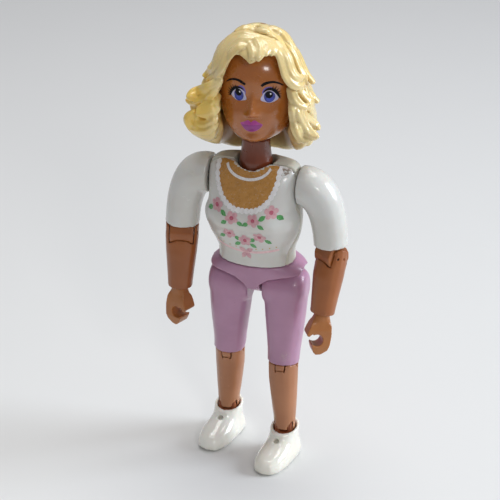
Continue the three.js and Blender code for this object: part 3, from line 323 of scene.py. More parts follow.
@dataclass(frozen=True)
class Plastic(Finish):
    """Glossy moulded plastic with cloudy colour, grooves darkened by soiling and painted shade, rubbed edges
    and fine specks.

    Args:
        colour: Main colour, linear.
        shade: Colour that the cloudy patches lean to.
        roughness: Mean roughness.
        coat: Weight of the clear gloss.
        grime_and_shade: How much the grooves are darkened, by soiling and by painted shade.
        rub: How much the edges are paled by handling.
        specks: How much of the surface carries small dark specks.
        texture: Depth of the fine moulding texture in millimetres.
        scatter: Weight of light scattered inside the plastic.
        wear_and_shade_spots: Single spots of wear, stains and painted shade.
    """

    colour: Colour
    shade: Colour
    roughness: float = 0.3
    coat: float = 0.25
    grime_and_shade: float = 0.35
    rub: float = 0.15
    specks: float = 0.2
    texture: float = 0.012
    scatter: float = 0.0
    wear_and_shade_spots: tuple[WearAndShadeSpot, ...] = ()

    def build(self) -> bpy.types.Material:
        """Returns the material, whose plain viewport colour is set too."""
        material = super().build()
        material.diffuse_color = (*self.colour, 1.0)
        return material

    def shader(self, graph: Graph) -> bpy.types.Node:
        """Returns the glossy shader with its texture and scratches."""
        colour, dirt_and_shade = self._colour(graph)
        patches = graph.noise(PATCH_SCALE, 4)
        fine = graph.noise(GRAIN_SCALE, 2)
        rough = self.roughness + (patches - 0.5) * 0.14 + (fine - 0.5) * 0.06 + dirt_and_shade * 0.25
        scratches = self._scratches(graph) * SCRATCH_DEPTH
        waves = graph.noise(RIPPLE_SCALE, 2) * self.texture * 2.2 * MM
        height = fine * self.texture * MM + waves - scratches
        bump = graph.node("Bump", Strength=0.7, Distance=1.0, Height=height)
        return graph.node(
            "BsdfPrincipled", Base_Color=colour, Roughness=rough.most(0.08),
            Coat_Weight=self.coat, Coat_Roughness=COAT_ROUGHNESS, IOR=PLASTIC_IOR,
            Subsurface_Weight=self.scatter, Subsurface_Scale=SCATTER_REACH,
            Normal=graph.value(bump))

    def _colour(self, graph: Graph) -> tuple[Value, Value]:
        """Works out the colour.

        Args:
            graph: Graph of the material.

        Returns:
            The colour, and how much soiling, wear and painted shade cover each point.
        """
        cloud = graph.noise(CLOUD_SCALE, 3).between(0.32, 0.72)
        colour = graph.mix(cloud * 0.75, self.colour, self.shade)
        dark = tuple(0.55 * part for part in self.shade)
        pale = tuple(min(1.0, part * 1.12 + 0.02) for part in self.colour)
        sharp = graph.crevice()
        # Pointiness darkens the grooves, as soiling and as painted shade where shade would fall.
        groove = sharp.between(0.496, 0.44) * self.grime_and_shade
        colour = graph.mix(groove, colour, dark)
        colour = graph.mix(sharp.between(0.52, 0.6) * self.rub, colour, pale)
        dots = graph.cells(SPECK_SCALE).between(0.13, 0.05)
        dots = dots * graph.noise(240, 1).between(0.56, 0.62)
        colour = graph.mix(dots * self.specks, colour, tuple(0.3 * part for part in self.shade))
        dirt_and_shade = groove
        for wear_and_shade_spot in self.wear_and_shade_spots:
            mask = self._spot(graph, wear_and_shade_spot)
            colour = graph.mix(mask, colour, wear_and_shade_spot.colour)
            dirt_and_shade = dirt_and_shade.most(mask)
        return colour, dirt_and_shade

    @staticmethod
    def _spot(graph: Graph, wear_and_shade_spot: WearAndShadeSpot) -> Value:
        """Returns the cover of one spot, speckled by its grain."""
        squares = []
        for axis, middle, reach in zip("XYZ", wear_and_shade_spot.at, wear_and_shade_spot.reach):
            squares.append(((graph.axis(axis) - middle * MM) / (reach * MM)) ** 2.0)
        near = (squares[0] + squares[1] + squares[2]).between(1.0, 0.35)
        if wear_and_shade_spot.grain > 0:
            near = near * graph.noise(1000 / wear_and_shade_spot.grain, 3, 0.7).between(0.46, 0.56)
        return near * wear_and_shade_spot.amount

    @staticmethod
    def _scratches(graph: Graph) -> Value:
        """Returns fine hairline scratches in two directions."""
        line = graph.axis("Z") * 0.9 + graph.axis("X") * 0.45 + graph.noise(60, 1) * 0.004
        band = (line * 9000.0).wave().between(0.985, 1.0)
        return band * graph.noise(180, 2).between(0.6, 0.7)


@dataclass(frozen=True)
class Steel(Finish):
    """Plain turned steel of the hidden pins."""

    def shader(self, graph: Graph) -> bpy.types.Node:
        """Returns the metal shader with its turning marks."""
        turned = (graph.axis("X") * 26000.0).wave() * 0.08
        rough = graph.noise(500, 3) * 0.3 + 0.2 + turned
        colour = graph.mix(graph.noise(220, 3), (0.5, 0.51, 0.52), (0.36, 0.35, 0.34))
        return graph.node(
            "BsdfPrincipled", Base_Color=colour, Roughness=rough, Metallic=1.0)


@dataclass(frozen=True)
class Ink(Finish):
    """A pad-printed ink in the slot of the plastic below it.

    Args:
        colour: Ink colour, linear.
        shade: Second colour of the ink's slight clouding.
        roughness: Mean roughness.
        worn: How much the print is speckled by wear.
        below: Colour of the plastic that shows where it is worn.
        gloss: Strength of its reflections, 0.5 for a plain lacquer.
    """

    colour: Colour
    shade: Colour
    roughness: float = 0.28
    worn: float = 0.0
    below: Colour = (0.66, 0.64, 0.6)
    gloss: float = 0.5

    def shader(self, graph: Graph) -> bpy.types.Node:
        """Returns the lacquer's shader with its wear."""
        colour = graph.mix(graph.noise(700, 3).between(0.35, 0.68), self.colour, self.shade)
        if self.worn > 0:
            gone = graph.noise(1900, 3, 0.7).between(0.6, 0.66) * self.worn
            colour = graph.mix(gone, colour, self.below)
        rough = self.roughness + (graph.noise(900, 2) - 0.5) * 0.1
        ripple = graph.noise(RIPPLE_SCALE, 2) * 0.02 * MM
        bump = graph.node("Bump", Strength=0.5, Distance=1.0, Height=ripple)
        return graph.node(
            "BsdfPrincipled", Base_Color=colour, Roughness=rough,
            Coat_Weight=0.4 * self.gloss, Coat_Roughness=COAT_ROUGHNESS,
            Specular_IOR_Level=self.gloss, Normal=graph.value(bump))


# ---------------------------------------------------------------- bench tools


Form = tuple[float, float, float, float, float]

# Weight of the smoothing on a kept edge, and distance of the points along it in metres
LEAST_SMOOTHING = 0.05
EDGE_STEP = 0.25 * MM

# Place along Y at which the finer forms of a front begin, and over which they grow, in millimetres
FRONT_FROM = 2.0
FRONT_BLEND = 3.0


class Side(Enum):
    """Side of the figure, as the CAD names begin."""

    LEFT = "left_"
    RIGHT = "right_"
    MIDDLE = ""


def unit(value: float) -> float:
    """Returns a number held between 0 and 1."""
    return min(1.0, max(0.0, value))


class Bench:
    """Modelling steps that every sub-assembly uses."""

    @staticmethod
    def link(name: str, data: Any) -> bpy.types.Object:
        """Puts a new object into the scene.

        Args:
            name: Name of the object.
            data: Its mesh, curve, lamp or camera.

        Returns:
            The object.
        """
        made = bpy.data.objects.new(name, data)
        bpy.context.scene.collection.objects.link(made)
        return made

    @staticmethod
    def only(piece: bpy.types.Object) -> None:
        """Makes one piece the only selected one and the active one."""
        if bpy.context.object and bpy.context.object.mode != "OBJECT":
            bpy.ops.object.mode_set(mode="OBJECT")
        bpy.ops.object.select_all(action="DESELECT")
        piece.hide_set(False)
        piece.select_set(True)
        bpy.context.view_layer.objects.active = piece

    @staticmethod
    def apply(piece: bpy.types.Object, kind: str, **settings: Any) -> None:
        """Adds a modifier and applies it.

        Args:
            piece: Mesh object.
            kind: Modifier type.
            settings: Properties of the modifier.
        """
        Bench.only(piece)
        bpy.ops.object.modifier_add(type=kind)
        modifier = piece.modifiers[-1]
        for key, value in settings.items():
            setattr(modifier, key, value)
        bpy.ops.object.modifier_apply(modifier=modifier.name)

    @staticmethod
    def copy_node(node: str, name: str) -> bpy.types.Object:
        """Copies a CAD node's mesh as a new object and merges its loose triangles.

        Args:
            node: CAD node.
            name: Name of the new piece.

        Returns:
            The new piece.
        """
        piece = Bench.link(name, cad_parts[node].data.copy())
        Bench.only(piece)
        bpy.ops.object.mode_set(mode="EDIT")
        bpy.ops.mesh.select_all(action="SELECT")
        bpy.ops.mesh.remove_doubles(threshold=1e-6)
        bpy.ops.object.mode_set(mode="OBJECT")
        piece.data.materials.clear()
        return piece

    @staticmethod
    def sharp_points(piece: bpy.types.Object, angle: float, step: float) -> list[Vector]:
        """Finds points along the edges that turn sharply.

        Args:
            piece: Mesh object.
            angle: Least turn of an edge in degrees.
            step: Distance between the points in metres.

        Returns:
            The points.
        """
        mesh = bmesh.new()
        mesh.from_mesh(piece.data)
        points = []
        for edge in mesh.edges:
            if len(edge.link_faces) == 2 and edge.calc_face_angle(0.0) < math.radians(angle):
                continue
            first, last = (vert.co for vert in edge.verts)
            count = max(1, int((last - first).length / step))
            points.extend(first.lerp(last, i / count) for i in range(count + 1))
        mesh.free()
        return points

    @staticmethod
    def tree(piece: bpy.types.Object) -> BVHTree:
        """Makes a search tree of a piece's faces.

        Args:
            piece: Mesh object.

        Returns:
            The tree.
        """
        mesh = bmesh.new()
        mesh.from_mesh(piece.data)
        tree = BVHTree.FromBMesh(mesh)
        mesh.free()
        return tree

    @staticmethod
    def fair(piece: bpy.types.Object, voxel: float, rounds: int, edges: Sequence[Vector],
             soft: float) -> None:
        """Turns a faceted piece into one fair skin that keeps its edges.

        Args:
            piece: Mesh object.
            voxel: Mesh size in millimetres.
            rounds: Smoothing passes away from the edges.
            edges: Points along the edges that stay.
            soft: Reach of an edge in millimetres.
        """
        Bench.apply(piece, "REMESH", mode="VOXEL", voxel_size=voxel * MM)
        tree = KDTree(len(edges))
        for i, spot in enumerate(edges):
            tree.insert(spot, i)
        tree.balance()
        group = piece.vertex_groups.new(name="fair")
        for vert in piece.data.vertices:
            far = tree.find(vert.co)[2] / MM if edges else soft * 2
            weight = max(LEAST_SMOOTHING, unit((far - 0.25 * soft) / soft))
            group.add([vert.index], weight, "REPLACE")
        Bench.apply(piece, "SMOOTH", factor=0.5, iterations=rounds, vertex_group="fair")
        Bench.apply(piece, "SMOOTH", factor=0.5, iterations=2)
        piece.vertex_groups.clear()
        Bench.only(piece)
        bpy.ops.object.shade_smooth()

    @staticmethod
    def finish(piece: bpy.types.Object, body: str, look: Finish,
               nodes: Iterable[str] = ()) -> bpy.types.Object:
        """Gives a piece its material and body, and hides the nodes that it stands for.

        Args:
            piece: Piece in place.
            body: CAD body that it moves with.
            look: Finish of the piece.
            nodes: CAD nodes that it replaces.

        Returns:
            The piece.
        """
        piece.data.materials.clear()
        piece.data.materials.append(look.build())
        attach(piece, body)
        if nodes:
            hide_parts(*nodes)
        LOG.info("%s on %s, %d faces", piece.name, body, len(piece.data.polygons))
        return piece


@dataclass
class Moulding:
    """One rigid moulding whose CAD form gets a fair, fine skin.

    Args:
        node: CAD node, without its side.
        body: CAD body, without its side.
        look: Finish.
        voxel: Mesh size in millimetres.
        rounds: Smoothing passes.
        soft: Reach of its edges in millimetres.
        crease: Least turn of an edge that is kept, in degrees.
        swell: How far the faces move outwards into the play of a joint, in millimetres.
        forms: Finer forms of its front: place across and up, reach across and up, and rise,
            in millimetres.
    """

    node: str
    body: str
    look: Plastic
    voxel: float = 0.3
    rounds: int = 24
    soft: float = 1.0
    crease: float = 48.0
    swell: float = 0.0
    forms: tuple[Form, ...] = ()

    def build(self, side: Side = Side.MIDDLE) -> bpy.types.Object:
        """Makes the moulding.

        Args:
            side: Side of the figure, whose name comes before those of the node and the body.

        Returns:
            The finished piece.
        """
        node = side.value + self.node
        piece = Bench.copy_node(node, node + "_moulding")
        edges = Bench.sharp_points(piece, self.crease, EDGE_STEP)
        Bench.fair(piece, self.voxel, self.rounds, edges, self.soft)
        if self.swell:
            Bench.apply(piece, "DISPLACE", strength=self.swell * MM, mid_level=0.0)
        if self.forms:
            self._model(piece)
        return Bench.finish(piece, side.value + self.body, self.look, [node])

    def _model(self, piece: bpy.types.Object) -> None:
        """Moves the front's skin out or in at its finer forms.

        Args:
            piece: Piece with its fair skin.
        """
        for vert in piece.data.vertices:
            x, y, z = vert.co / MM
            front = unit((FRONT_FROM - y) / FRONT_BLEND)
            rise = sum(height * math.exp(-((x - across) / wide) ** 2 - ((z - up) / tall) ** 2)
                       for across, up, wide, tall, height in self.forms)
            vert.co.y -= rise * front * MM


def flowing(points: Sequence[Sequence[float]], steps: int, closed: bool = False) -> list[list[float]]:
    """Runs a smooth line through points.

    Args:
        points: Points of any dimension.
        steps: Steps between two points.
        closed: Whether the line meets its start.

    Returns:
        Points along the line.
    """
    count = len(points)

    def pick(i: int) -> Sequence[float]:
        """Returns a point by number, past an end the first or last one."""
        return points[i % count if closed else min(max(i, 0), count - 1)]

    line = []
    for i in range(count if closed else count - 1):
        p, q, r, s = (pick(i + k) for k in (-1, 0, 1, 2))
        for k in range(steps):
            t = k / steps
            line.append([
                0.5 * (2 * b + (c - a) * t + (2 * a - 5 * b + 4 * c - d) * t * t
                       + (3 * b - a - 3 * c + d) * t ** 3)
                for a, b, c, d in zip(p, q, r, s)])
    if not closed:
        line.append(list(points[-1]))
    return line


def aside(start: Sequence[float], end: Sequence[float], width: float) -> Point2:
    """Finds the step from the middle of a line to its left edge.

    Args:
        start: Start of the line, seen from the front.
        end: End of the line.
        width: Width of the line.

    Returns:
        The step across and up.
    """
    across, up = end[0] - start[0], end[1] - start[1]
    length = math.hypot(across, up) or 1.0
    return -up / length * width / 2, across / length * width / 2


@dataclass
class Print:
    """Flat inked shapes laid on the front of a moulding.

    Args:
        carrier: Piece that is printed on.
        body: CAD body of the carrier.
        lift: Thickness of one ink layer in millimetres.
        ahead: Place along Y of the flat shapes before they are pressed on, in millimetres.
        steep: Value of the normal's Y over which a face is too steep to take ink.
    """

    carrier: bpy.types.Object
    body: str
    lift: float = 0.018
    ahead: float = -60.0
    steep: float = -0.12

    def __post_init__(self) -> None:
        """Makes the search tree of the carrier."""
        self.tree = Bench.tree(self.carrier)

    def lay(self, name: str, ink: Ink, shapes: Sequence[Sequence[Point2]], layer: int,
            cuts: int = 6) -> bpy.types.Object:
        """Prints closed shapes.

        Args:
            name: Name of the print.
            ink: Ink that it is printed in.
            shapes: Outlines in millimetres, seen from the front.
            layer: Place in the stack of inks, from 1.
            cuts: How finely the shapes are cut to follow the carrier.

        Returns:
            The print.
        """
        mesh = bpy.data.meshes.new(name)
        corners = [(x * MM, self.ahead * MM, z * MM) for shape in shapes for x, z in shape]
        faces, start = [], 0
        for shape in shapes:
            faces.append(list(range(start, start + len(shape))))
            start += len(shape)
        mesh.from_pydata(corners, [], faces)
        piece = Bench.link(name, mesh)
        Bench.only(piece)
        bpy.ops.object.mode_set(mode="EDIT")
        bpy.ops.mesh.select_all(action="SELECT")
        bpy.ops.mesh.quads_convert_to_tris(ngon_method="BEAUTY")
        bpy.ops.mesh.subdivide(number_cuts=cuts)
        bpy.ops.object.mode_set(mode="OBJECT")
        self._press(piece, layer)
        return Bench.finish(piece, self.body, ink)

    def _press(self, piece: bpy.types.Object, layer: int) -> None:
        """Lays the flat shapes on the carrier and drops what misses it.

        Args:
            piece: Flat shapes ahead of the carrier.
            layer: Place in the stack of inks.
        """
        mesh = bmesh.new()
        mesh.from_mesh(piece.data)
        missed = []
        for vert in mesh.verts:
            spot, normal, _, _ = self.tree.ray_cast(vert.co, Vector((0, 1, 0)))
            if spot is None or normal.y > self.steep:
                missed.append(vert)
            else:
                vert.co = spot + normal * (self.lift * layer * MM)
        bmesh.ops.delete(mesh, geom=missed, context="VERTS")
        for face in mesh.faces:
            face.smooth = True
            if face.normal.y > 0:
                face.normal_flip()
        mesh.to_mesh(piece.data)
        mesh.free()


# ---------------------------------------------------------------- finishes of this figure


SLEEVE_SPOTS = (
    WearAndShadeSpot((18.6, 0.0, 90.5), (5.0, 6.0, 3.0), (0.62, 0.52, 0.3), 0.35, 2.5),
    WearAndShadeSpot((-17.0, 1.0, 91.0), (5.0, 6.0, 3.0), (0.66, 0.58, 0.4), 0.3, 2.5),
)
SHIRT = Plastic("shirt_white_plastic", "shirt_white", (0.66, 0.65, 0.62), (0.6, 0.575, 0.52), 0.24, 0.35,
                grime_and_shade=0.45, scatter=0.08, wear_and_shade_spots=SLEEVE_SPOTS + (
                    WearAndShadeSpot((9.6, -3.5, 95.2), (2.6, 3.0, 2.6), (0.16, 0.09, 0.05), 0.8, 0.8),
                    WearAndShadeSpot((-9.4, -3.5, 95.0), (2.0, 3.0, 1.6), (0.2, 0.12, 0.07), 0.45, 0.7),
                ))
SHELL = Plastic("shell_cream_plastic", "shell_cream", (0.62, 0.6, 0.52), (0.56, 0.52, 0.42), 0.3, 0.25,
                grime_and_shade=0.55, specks=0.6, scatter=0.06)
LILAC = Plastic("shorts_lilac_plastic", "shorts_lilac", (0.47, 0.25, 0.375), (0.4, 0.205, 0.31), 0.33, 0.2,
                grime_and_shade=0.4, specks=0.3, scatter=0.06, wear_and_shade_spots=(
                    WearAndShadeSpot((11.0, -4.5, 35.0), (3.0, 3.0, 2.4), (0.5, 0.4, 0.36), 0.35, 0.6),
                ))
SKIN = Plastic("skin_brown_plastic", "skin_brown", (0.43, 0.135, 0.022), (0.33, 0.095, 0.014), 0.26, 0.7,
               grime_and_shade=0.5, scatter=0.05)
# Painted shade: the neck is a darker copy of the face's brown, for the shade that the head and hair cast on
# it.
SHADED_NECK = Plastic("shaded_neck_brown_plastic", "skin_brown", (0.17, 0.035, 0.01), (0.13, 0.025, 0.007), 0.3, 0.25)
ARM_SKIN = Plastic("arm_brown_plastic", "skin_brown", (0.34, 0.1, 0.018), (0.26, 0.072, 0.013), 0.36, 0.2,
                   grime_and_shade=0.4, rub=0.45, specks=0.08, scatter=0.04)
HAND_SKIN = Plastic("hand_brown_plastic", "skin_brown", (0.43, 0.16, 0.04), (0.35, 0.12, 0.03), 0.36, 0.2,
                    grime_and_shade=0.5, rub=0.4, specks=0.15, scatter=0.04)
LEG_SKIN = Plastic("shin_tan_plastic", "skin_tan", (0.45, 0.19, 0.085), (0.37, 0.145, 0.06), 0.36, 0.2,
                   grime_and_shade=0.15, rub=0.3, scatter=0.04)
PEG = Plastic("ankle_brown_plastic", "peg_brown", (0.36, 0.11, 0.04), (0.28, 0.07, 0.022), 0.4, 0.15)
SHOE = Plastic("shoe_white_plastic", "shoe_white", (0.9, 0.88, 0.8), (0.84, 0.8, 0.68), 0.14, 0.6,
               grime_and_shade=0.5, specks=0.35, scatter=0.08)
# The hair's grooves take the full soiling and painted shade.
BLONDE = Plastic("hair_blonde_plastic", "hair_blonde", (0.78, 0.62, 0.3), (0.74, 0.52, 0.17), 0.26, 0.7,
                 grime_and_shade=1.0, rub=0.25, specks=0.05, scatter=0.1, wear_and_shade_spots=(
                     # Painted shade: a deeper yellow over the flap at the figure's right, for that side's
                     # weaker light and gloss.
                     WearAndShadeSpot((-15.0, -5.0, 114.0), (9.0, 10.0, 13.0), (0.86, 0.58, 0.1), 0.9, 0.0),
                     # Painted shade: dark brown on the inside of the back hair, round the back of the neck.
                     WearAndShadeSpot((0.0, 4.0, 105.0), (17.0, 11.0, 12.0), (0.4, 0.17, 0.02), 1.0, 0.0),
                     # A small dark brown spot on the crown.
                     WearAndShadeSpot((1.1, 4.4, 135.6), (1.1, 0.9, 2.0), (0.3, 0.13, 0.025), 0.95, 0.0),
                 ))
STEEL = Steel("turned_steel", "pin_steel")
WORN_FACE = (0.39, 0.155, 0.065)

EYE_WHITE = Ink("eye_white_ink", "skin_brown", (0.56, 0.53, 0.7), (0.48, 0.45, 0.64))
IRIS = Ink("iris_blue_ink", "skin_brown", (0.035, 0.045, 0.3), (0.028, 0.035, 0.24))
IRIS_LIGHT = Ink("iris_light_ink", "skin_brown", (0.07, 0.1, 0.5), (0.055, 0.075, 0.42))
BLACK = Ink("lash_black_ink", "skin_brown", (0.002, 0.002, 0.004), (0.004, 0.003, 0.006), 0.5, gloss=0.12)
GLINT = Ink("glint_white_ink", "skin_brown", (0.9, 0.9, 0.93), (0.82, 0.82, 0.88))
LID = Ink("lid_violet_ink", "skin_brown", (0.13, 0.1, 0.42), (0.17, 0.1, 0.36), worn=0.6, below=WORN_FACE)
BROW = Ink("brow_black_ink", "skin_brown", (0.003, 0.003, 0.005), (0.01, 0.006, 0.006), 0.5, worn=0.25,
           below=WORN_FACE, gloss=0.12)
LIP_LIGHT = Ink("lip_pink_ink", "skin_brown", (0.46, 0.06, 0.32), (0.38, 0.045, 0.26), 0.26, worn=0.15,
                below=WORN_FACE)
LIP_DARK = Ink("lip_magenta_ink", "skin_brown", (0.28, 0.025, 0.22), (0.23, 0.02, 0.18), 0.24, worn=0.15,
               below=WORN_FACE)

PRINT_TAN = Ink("yoke_tan_ink", "shirt_white", (0.5, 0.24, 0.055), (0.43, 0.2, 0.04), worn=0.3)
PRINT_WHITE = Ink("lace_white_ink", "shirt_white", (0.84, 0.82, 0.82), (0.76, 0.73, 0.72), worn=0.4,
                  below=(0.5, 0.3, 0.16))
PRINT_PINK = Ink("blossom_pink_ink", "shirt_white", (0.66, 0.38, 0.4), (0.56, 0.28, 0.32), worn=0.35)
PRINT_ROSE = Ink("blossom_heart_ink", "shirt_white", (0.5, 0.1, 0.16), (0.42, 0.08, 0.13), worn=0.3)
PRINT_PALE = Ink("ribbon_pale_ink", "shirt_white", (0.8, 0.55, 0.55), (0.72, 0.46, 0.48), worn=0.5)
PRINT_GREEN = Ink("leaf_green_ink", "shirt_white", (0.1, 0.36, 0.11), (0.07, 0.28, 0.08), worn=0.3)
PRINT_GOLD = Ink("dot_gold_ink", "shirt_white", (0.56, 0.36, 0.12), (0.46, 0.28, 0.08), worn=0.3)


# ---------------------------------------------------------------- sub-assemblies


@dataclass
class Hips:
    """Lilac pelvis with its steel hip axle."""

    def build(self) -> None:
        """Makes the pelvis."""
        Moulding("pelvis", "hips", LILAC, 0.3, 50).build()


@dataclass
class Leg:
    """One leg: shorts leg, knee, shin, ankle and shoe.

    Args:
        side: The figure's own left or right.
    """

    side: Side

    def build(self) -> None:
        """Makes the leg's mouldings."""
        for mould in (
                Moulding("thigh", "upper_leg", LILAC, 0.3, 70),
                Moulding("knee_link", "upper_leg", LEG_SKIN, 0.22, 10, 0.6, swell=0.1),
                Moulding("shin", "lower_leg", LEG_SKIN, 0.26, 60),
                Moulding("ankle_peg", "ankle", PEG, 0.2, 8, 0.6, swell=0.1),
                Moulding("shoe", "foot", SHOE, 0.26, 60)):
            mould.build(self.side)


@dataclass
class Arm:
    """One arm: sleeve, elbow knuckle, forearm and clip hand.

    Args:
        side: The figure's own left or right.
    """

    side: Side

    def build(self) -> None:
        """Makes the arm's mouldings."""
        for mould in (
                Moulding("sleeve", "upper_arm", SHIRT, 0.28, 80, swell=0.18),
                Moulding("elbow_knuckle", "elbow", ARM_SKIN, 0.22, 10, 0.6, swell=0.1),
                Moulding("forearm", "lower_arm", ARM_SKIN, 0.19, 80),
                Moulding("hand", "hand_body", HAND_SKIN, 0.18, 16, 0.8)):
            mould.build(self.side)


@dataclass
class Torso:
    """Two torso shells and the generic printed bodice on the front one.

    Args:
        middle: Sideways place of the chest's middle line in millimetres.
        yoke: Half of the yoke's outline from the middle of its foot upwards.
        scallops: Distance between the scallops of the lace, and their radius.
        lace: Width of the lace's line.
        collar: Half width and depth of the collar line and the height of its ends.
        collar_line: Width of the collar's line.
        blossoms: Places of the flowers.
        petal: Distance of a petal from the flower's middle, and its radius.
        heart: Radius of the flower's middle.
        band: Line of the band below the flowers.
        band_line: Width of the band.
        dots: Height of the dots over the band, and their radius.
        bow: Foot, turn in degrees and length of each leaf of the bow.
        knot: Middle and radius of the bow's knot.
        forms: Finer forms of the chest, as in Moulding.
    """

    middle: float = -0.4
    yoke: tuple[Point2, ...] = (
        (0, 84.2), (3.4, 84.7), (6.3, 86.6), (8.1, 89.4), (9.1, 92.8), (9.3, 97.2))
    scallops: Point2 = (1.25, 0.82)
    lace: float = 0.9
    collar: Point3 = (6.9, 4.6, 97.2)
    collar_line: float = 0.75
    blossoms: tuple[Point2, ...] = (
        (-8.2, 84.6), (-3.2, 82.0), (3.2, 82.0), (8.2, 84.6), (-4.6, 76.2), (4.6, 76.2), (0.0, 74.2))
    petal: Point2 = (1.2, 0.8)
    heart: float = 0.62
    band: tuple[Point2, ...] = ((-9.5, 71.4), (-5, 70.4), (0, 70.0), (5, 70.4), (9.5, 71.4))
    band_line: float = 0.8
    dots: Point2 = (1.2, 0.24)
    bow: tuple[tuple[float, float, float, float], ...] = (
        (0, 70.2, 28, 2.5), (0, 70.2, 152, 2.5), (0.1, 70.0, -62, 2.6), (-0.1, 70.0, -118, 2.6))
    knot: Point3 = (0, 70.2, 0.55)
    forms: tuple[Form, ...] = (
        (-5.4, 82.0, 4.2, 3.6, 0.7), (5.0, 82.0, 4.2, 3.6, 0.7), (-0.2, 76.2, 12.0, 1.8, -0.6))

    def build(self) -> None:
        """Makes the shells and the print."""
        front = Moulding("torso_front", "torso", SHIRT, 0.32, 90, forms=self.forms).build()
        Moulding("torso_back", "torso", SHELL, 0.34, 90).build()
        self.print_bodice(Print(front, "torso"))

    def _at(self, points: Iterable[Point2]) -> list[Point2]:
        """Moves points to the chest's middle line."""
        return [(x + self.middle, z) for x, z in points]

    def _ring(self, x: float, z: float, radius: float, count: int) -> list[Point2]:
        """Returns a round outline about a place on the chest."""
        turn = math.tau / count
        return self._at((x + radius * math.cos(i * turn), z + radius * math.sin(i * turn))
                        for i in range(count))

    def _leaf(self, x: float, z: float, turn: float, length: float) -> list[Point2]:
        """Returns a pointed leaf that starts at a place and lies at an angle in degrees."""
        half = [(0, 0), (0.3, 0.26), (0.62, 0.27), (1, 0), (0.62, -0.27), (0.3, -0.26)]
        cos, sin = math.cos(math.radians(turn)), math.sin(math.radians(turn))
        return self._at((x + length * (a * cos - b * sin), z + length * (a * sin + b * cos))
                        for a, b in half)

    def _stroke(self, points: Sequence[Sequence[float]], width: float) -> list[list[Point2]]:
        """Returns short quads along a smooth line."""
        line = flowing(points, 6)
        quads = []
        for start, end in zip(line, line[1:]):
            (ax, az), (bx, bz), (nx, nz) = start, end, aside(start, end, width)
            quads.append(self._at([
                (ax + nx, az + nz), (ax - nx, az - nz), (bx - nx, bz - nz), (bx + nx, bz + nz)]))
        return quads

    def _lace(self, edge: Sequence[Sequence[float]]) -> list[list[Point2]]:
        """Returns the scallops along an edge."""
        step, radius = self.scallops
        scallops, run = [], 0.0
        for (ax, az), (bx, bz) in zip(edge, edge[1:]):
            run += math.hypot(bx - ax, bz - az)
            if run > step:
                run = 0.0
                scallops.append(self._ring(bx, bz, radius, 10))
        return scallops

    def print_bodice(self, press: Print) -> None:
        """Prints the yoke with its scallops, the blossoms, the band and the small bow.

        Args:
            press: Press on the front shell.
        """
        half = flowing(self.yoke, 8)
        outline = half + [[-x, z] for x, z in reversed(half[1:])]
        press.lay("bodice_yoke_print", PRINT_TAN, [self._at(outline)], 1, 15)
        edge = [[-x, z] for x, z in reversed(half)] + half[1:]
        press.lay("bodice_lace_print", PRINT_WHITE, self._lace(edge), 2, 2)
        press.lay("bodice_lace_line_print", PRINT_WHITE, self._stroke(edge, self.lace), 3, 2)
        wide, deep, top = self.collar
        turns = [math.radians(-72 + 16 * i) for i in range(10)]
        collar = [(wide * math.sin(turn), top - deep * math.cos(turn)) for turn in turns]
        press.lay(
            "bodice_collar_print", PRINT_WHITE, self._stroke(collar, self.collar_line), 3, 2)
        self._print_blossoms(press)
        press.lay("bodice_band_print", PRINT_PALE, self._stroke(self.band, self.band_line), 1, 2)
        over, radius = self.dots
        dots = [self._ring(x, z + over, radius, 8) for x, z in flowing(self.band, 5)[1:-1:2]]
        press.lay("bodice_dot_print", PRINT_GOLD, dots, 1, 1)
        bow = [self._leaf(*leaf) for leaf in self.bow]
        bow.insert(2, self._ring(*self.knot, 9))
        press.lay("bodice_bow_print", PRINT_PINK, bow, 2, 3)

    def _print_blossoms(self, press: Print) -> None:
        """Prints the flowers with two leaves each.

        Args:
            press: Press on the front shell.
        """
        reach, radius = self.petal
        petals, hearts, leaves = [], [], []
        for number, (x, z) in enumerate(self.blossoms):
            for turn in range(5):
                angle = math.radians(72 * turn + 18 + 25 * number)
                petals.append(self._ring(
                    x + reach * math.cos(angle), z + reach * math.sin(angle), radius, 9))
            hearts.append(self._ring(x, z, self.heart, 9))
            leaves.append(self._leaf(x + 1.4, z - 0.9, -35, 2.4))
            leaves.append(self._leaf(x - 1.4, z - 0.9, 215, 2.4))
        press.lay("bodice_leaf_print", PRINT_GREEN, leaves, 2, 3)
        press.lay("bodice_petal_print", PRINT_PINK, petals, 3, 2)
        press.lay("bodice_flower_heart_print", PRINT_ROSE, hearts, 4, 2)


@dataclass(frozen=True)
class Eye:
    """Outlines of one printed eye in millimetres, seen from the front.

    Args:
        name: Start of the prints' names.
        white: Outline of the white.
        iris: Middle of the iris.
        pupil: Middle of the pupil.
        lid: Lash line.
        shadow: Outline of the lid's colour.
        brow: Line of the brow.
        lashes: Root and tip of each lash.
        lid_widths: Widths of the lash line at its points.
        brow_widths: Widths of the brow at its points.
        iris_reach: Half width and half height of the iris.
        pupil_reach: Half width and half height of the pupil.
    """

    name: str
    white: tuple[Point2, ...]
    iris: Point2
    pupil: Point2
    lid: tuple[Point2, ...]
    shadow: tuple[Point2, ...]
    brow: tuple[Point2, ...]
    lashes: tuple[tuple[float, float, float, float], ...]
    lid_widths: tuple[float, ...]
    brow_widths: tuple[float, ...]
    iris_reach: Point2 = (1.45, 1.72)
    pupil_reach: Point2 = (0.98, 1.2)


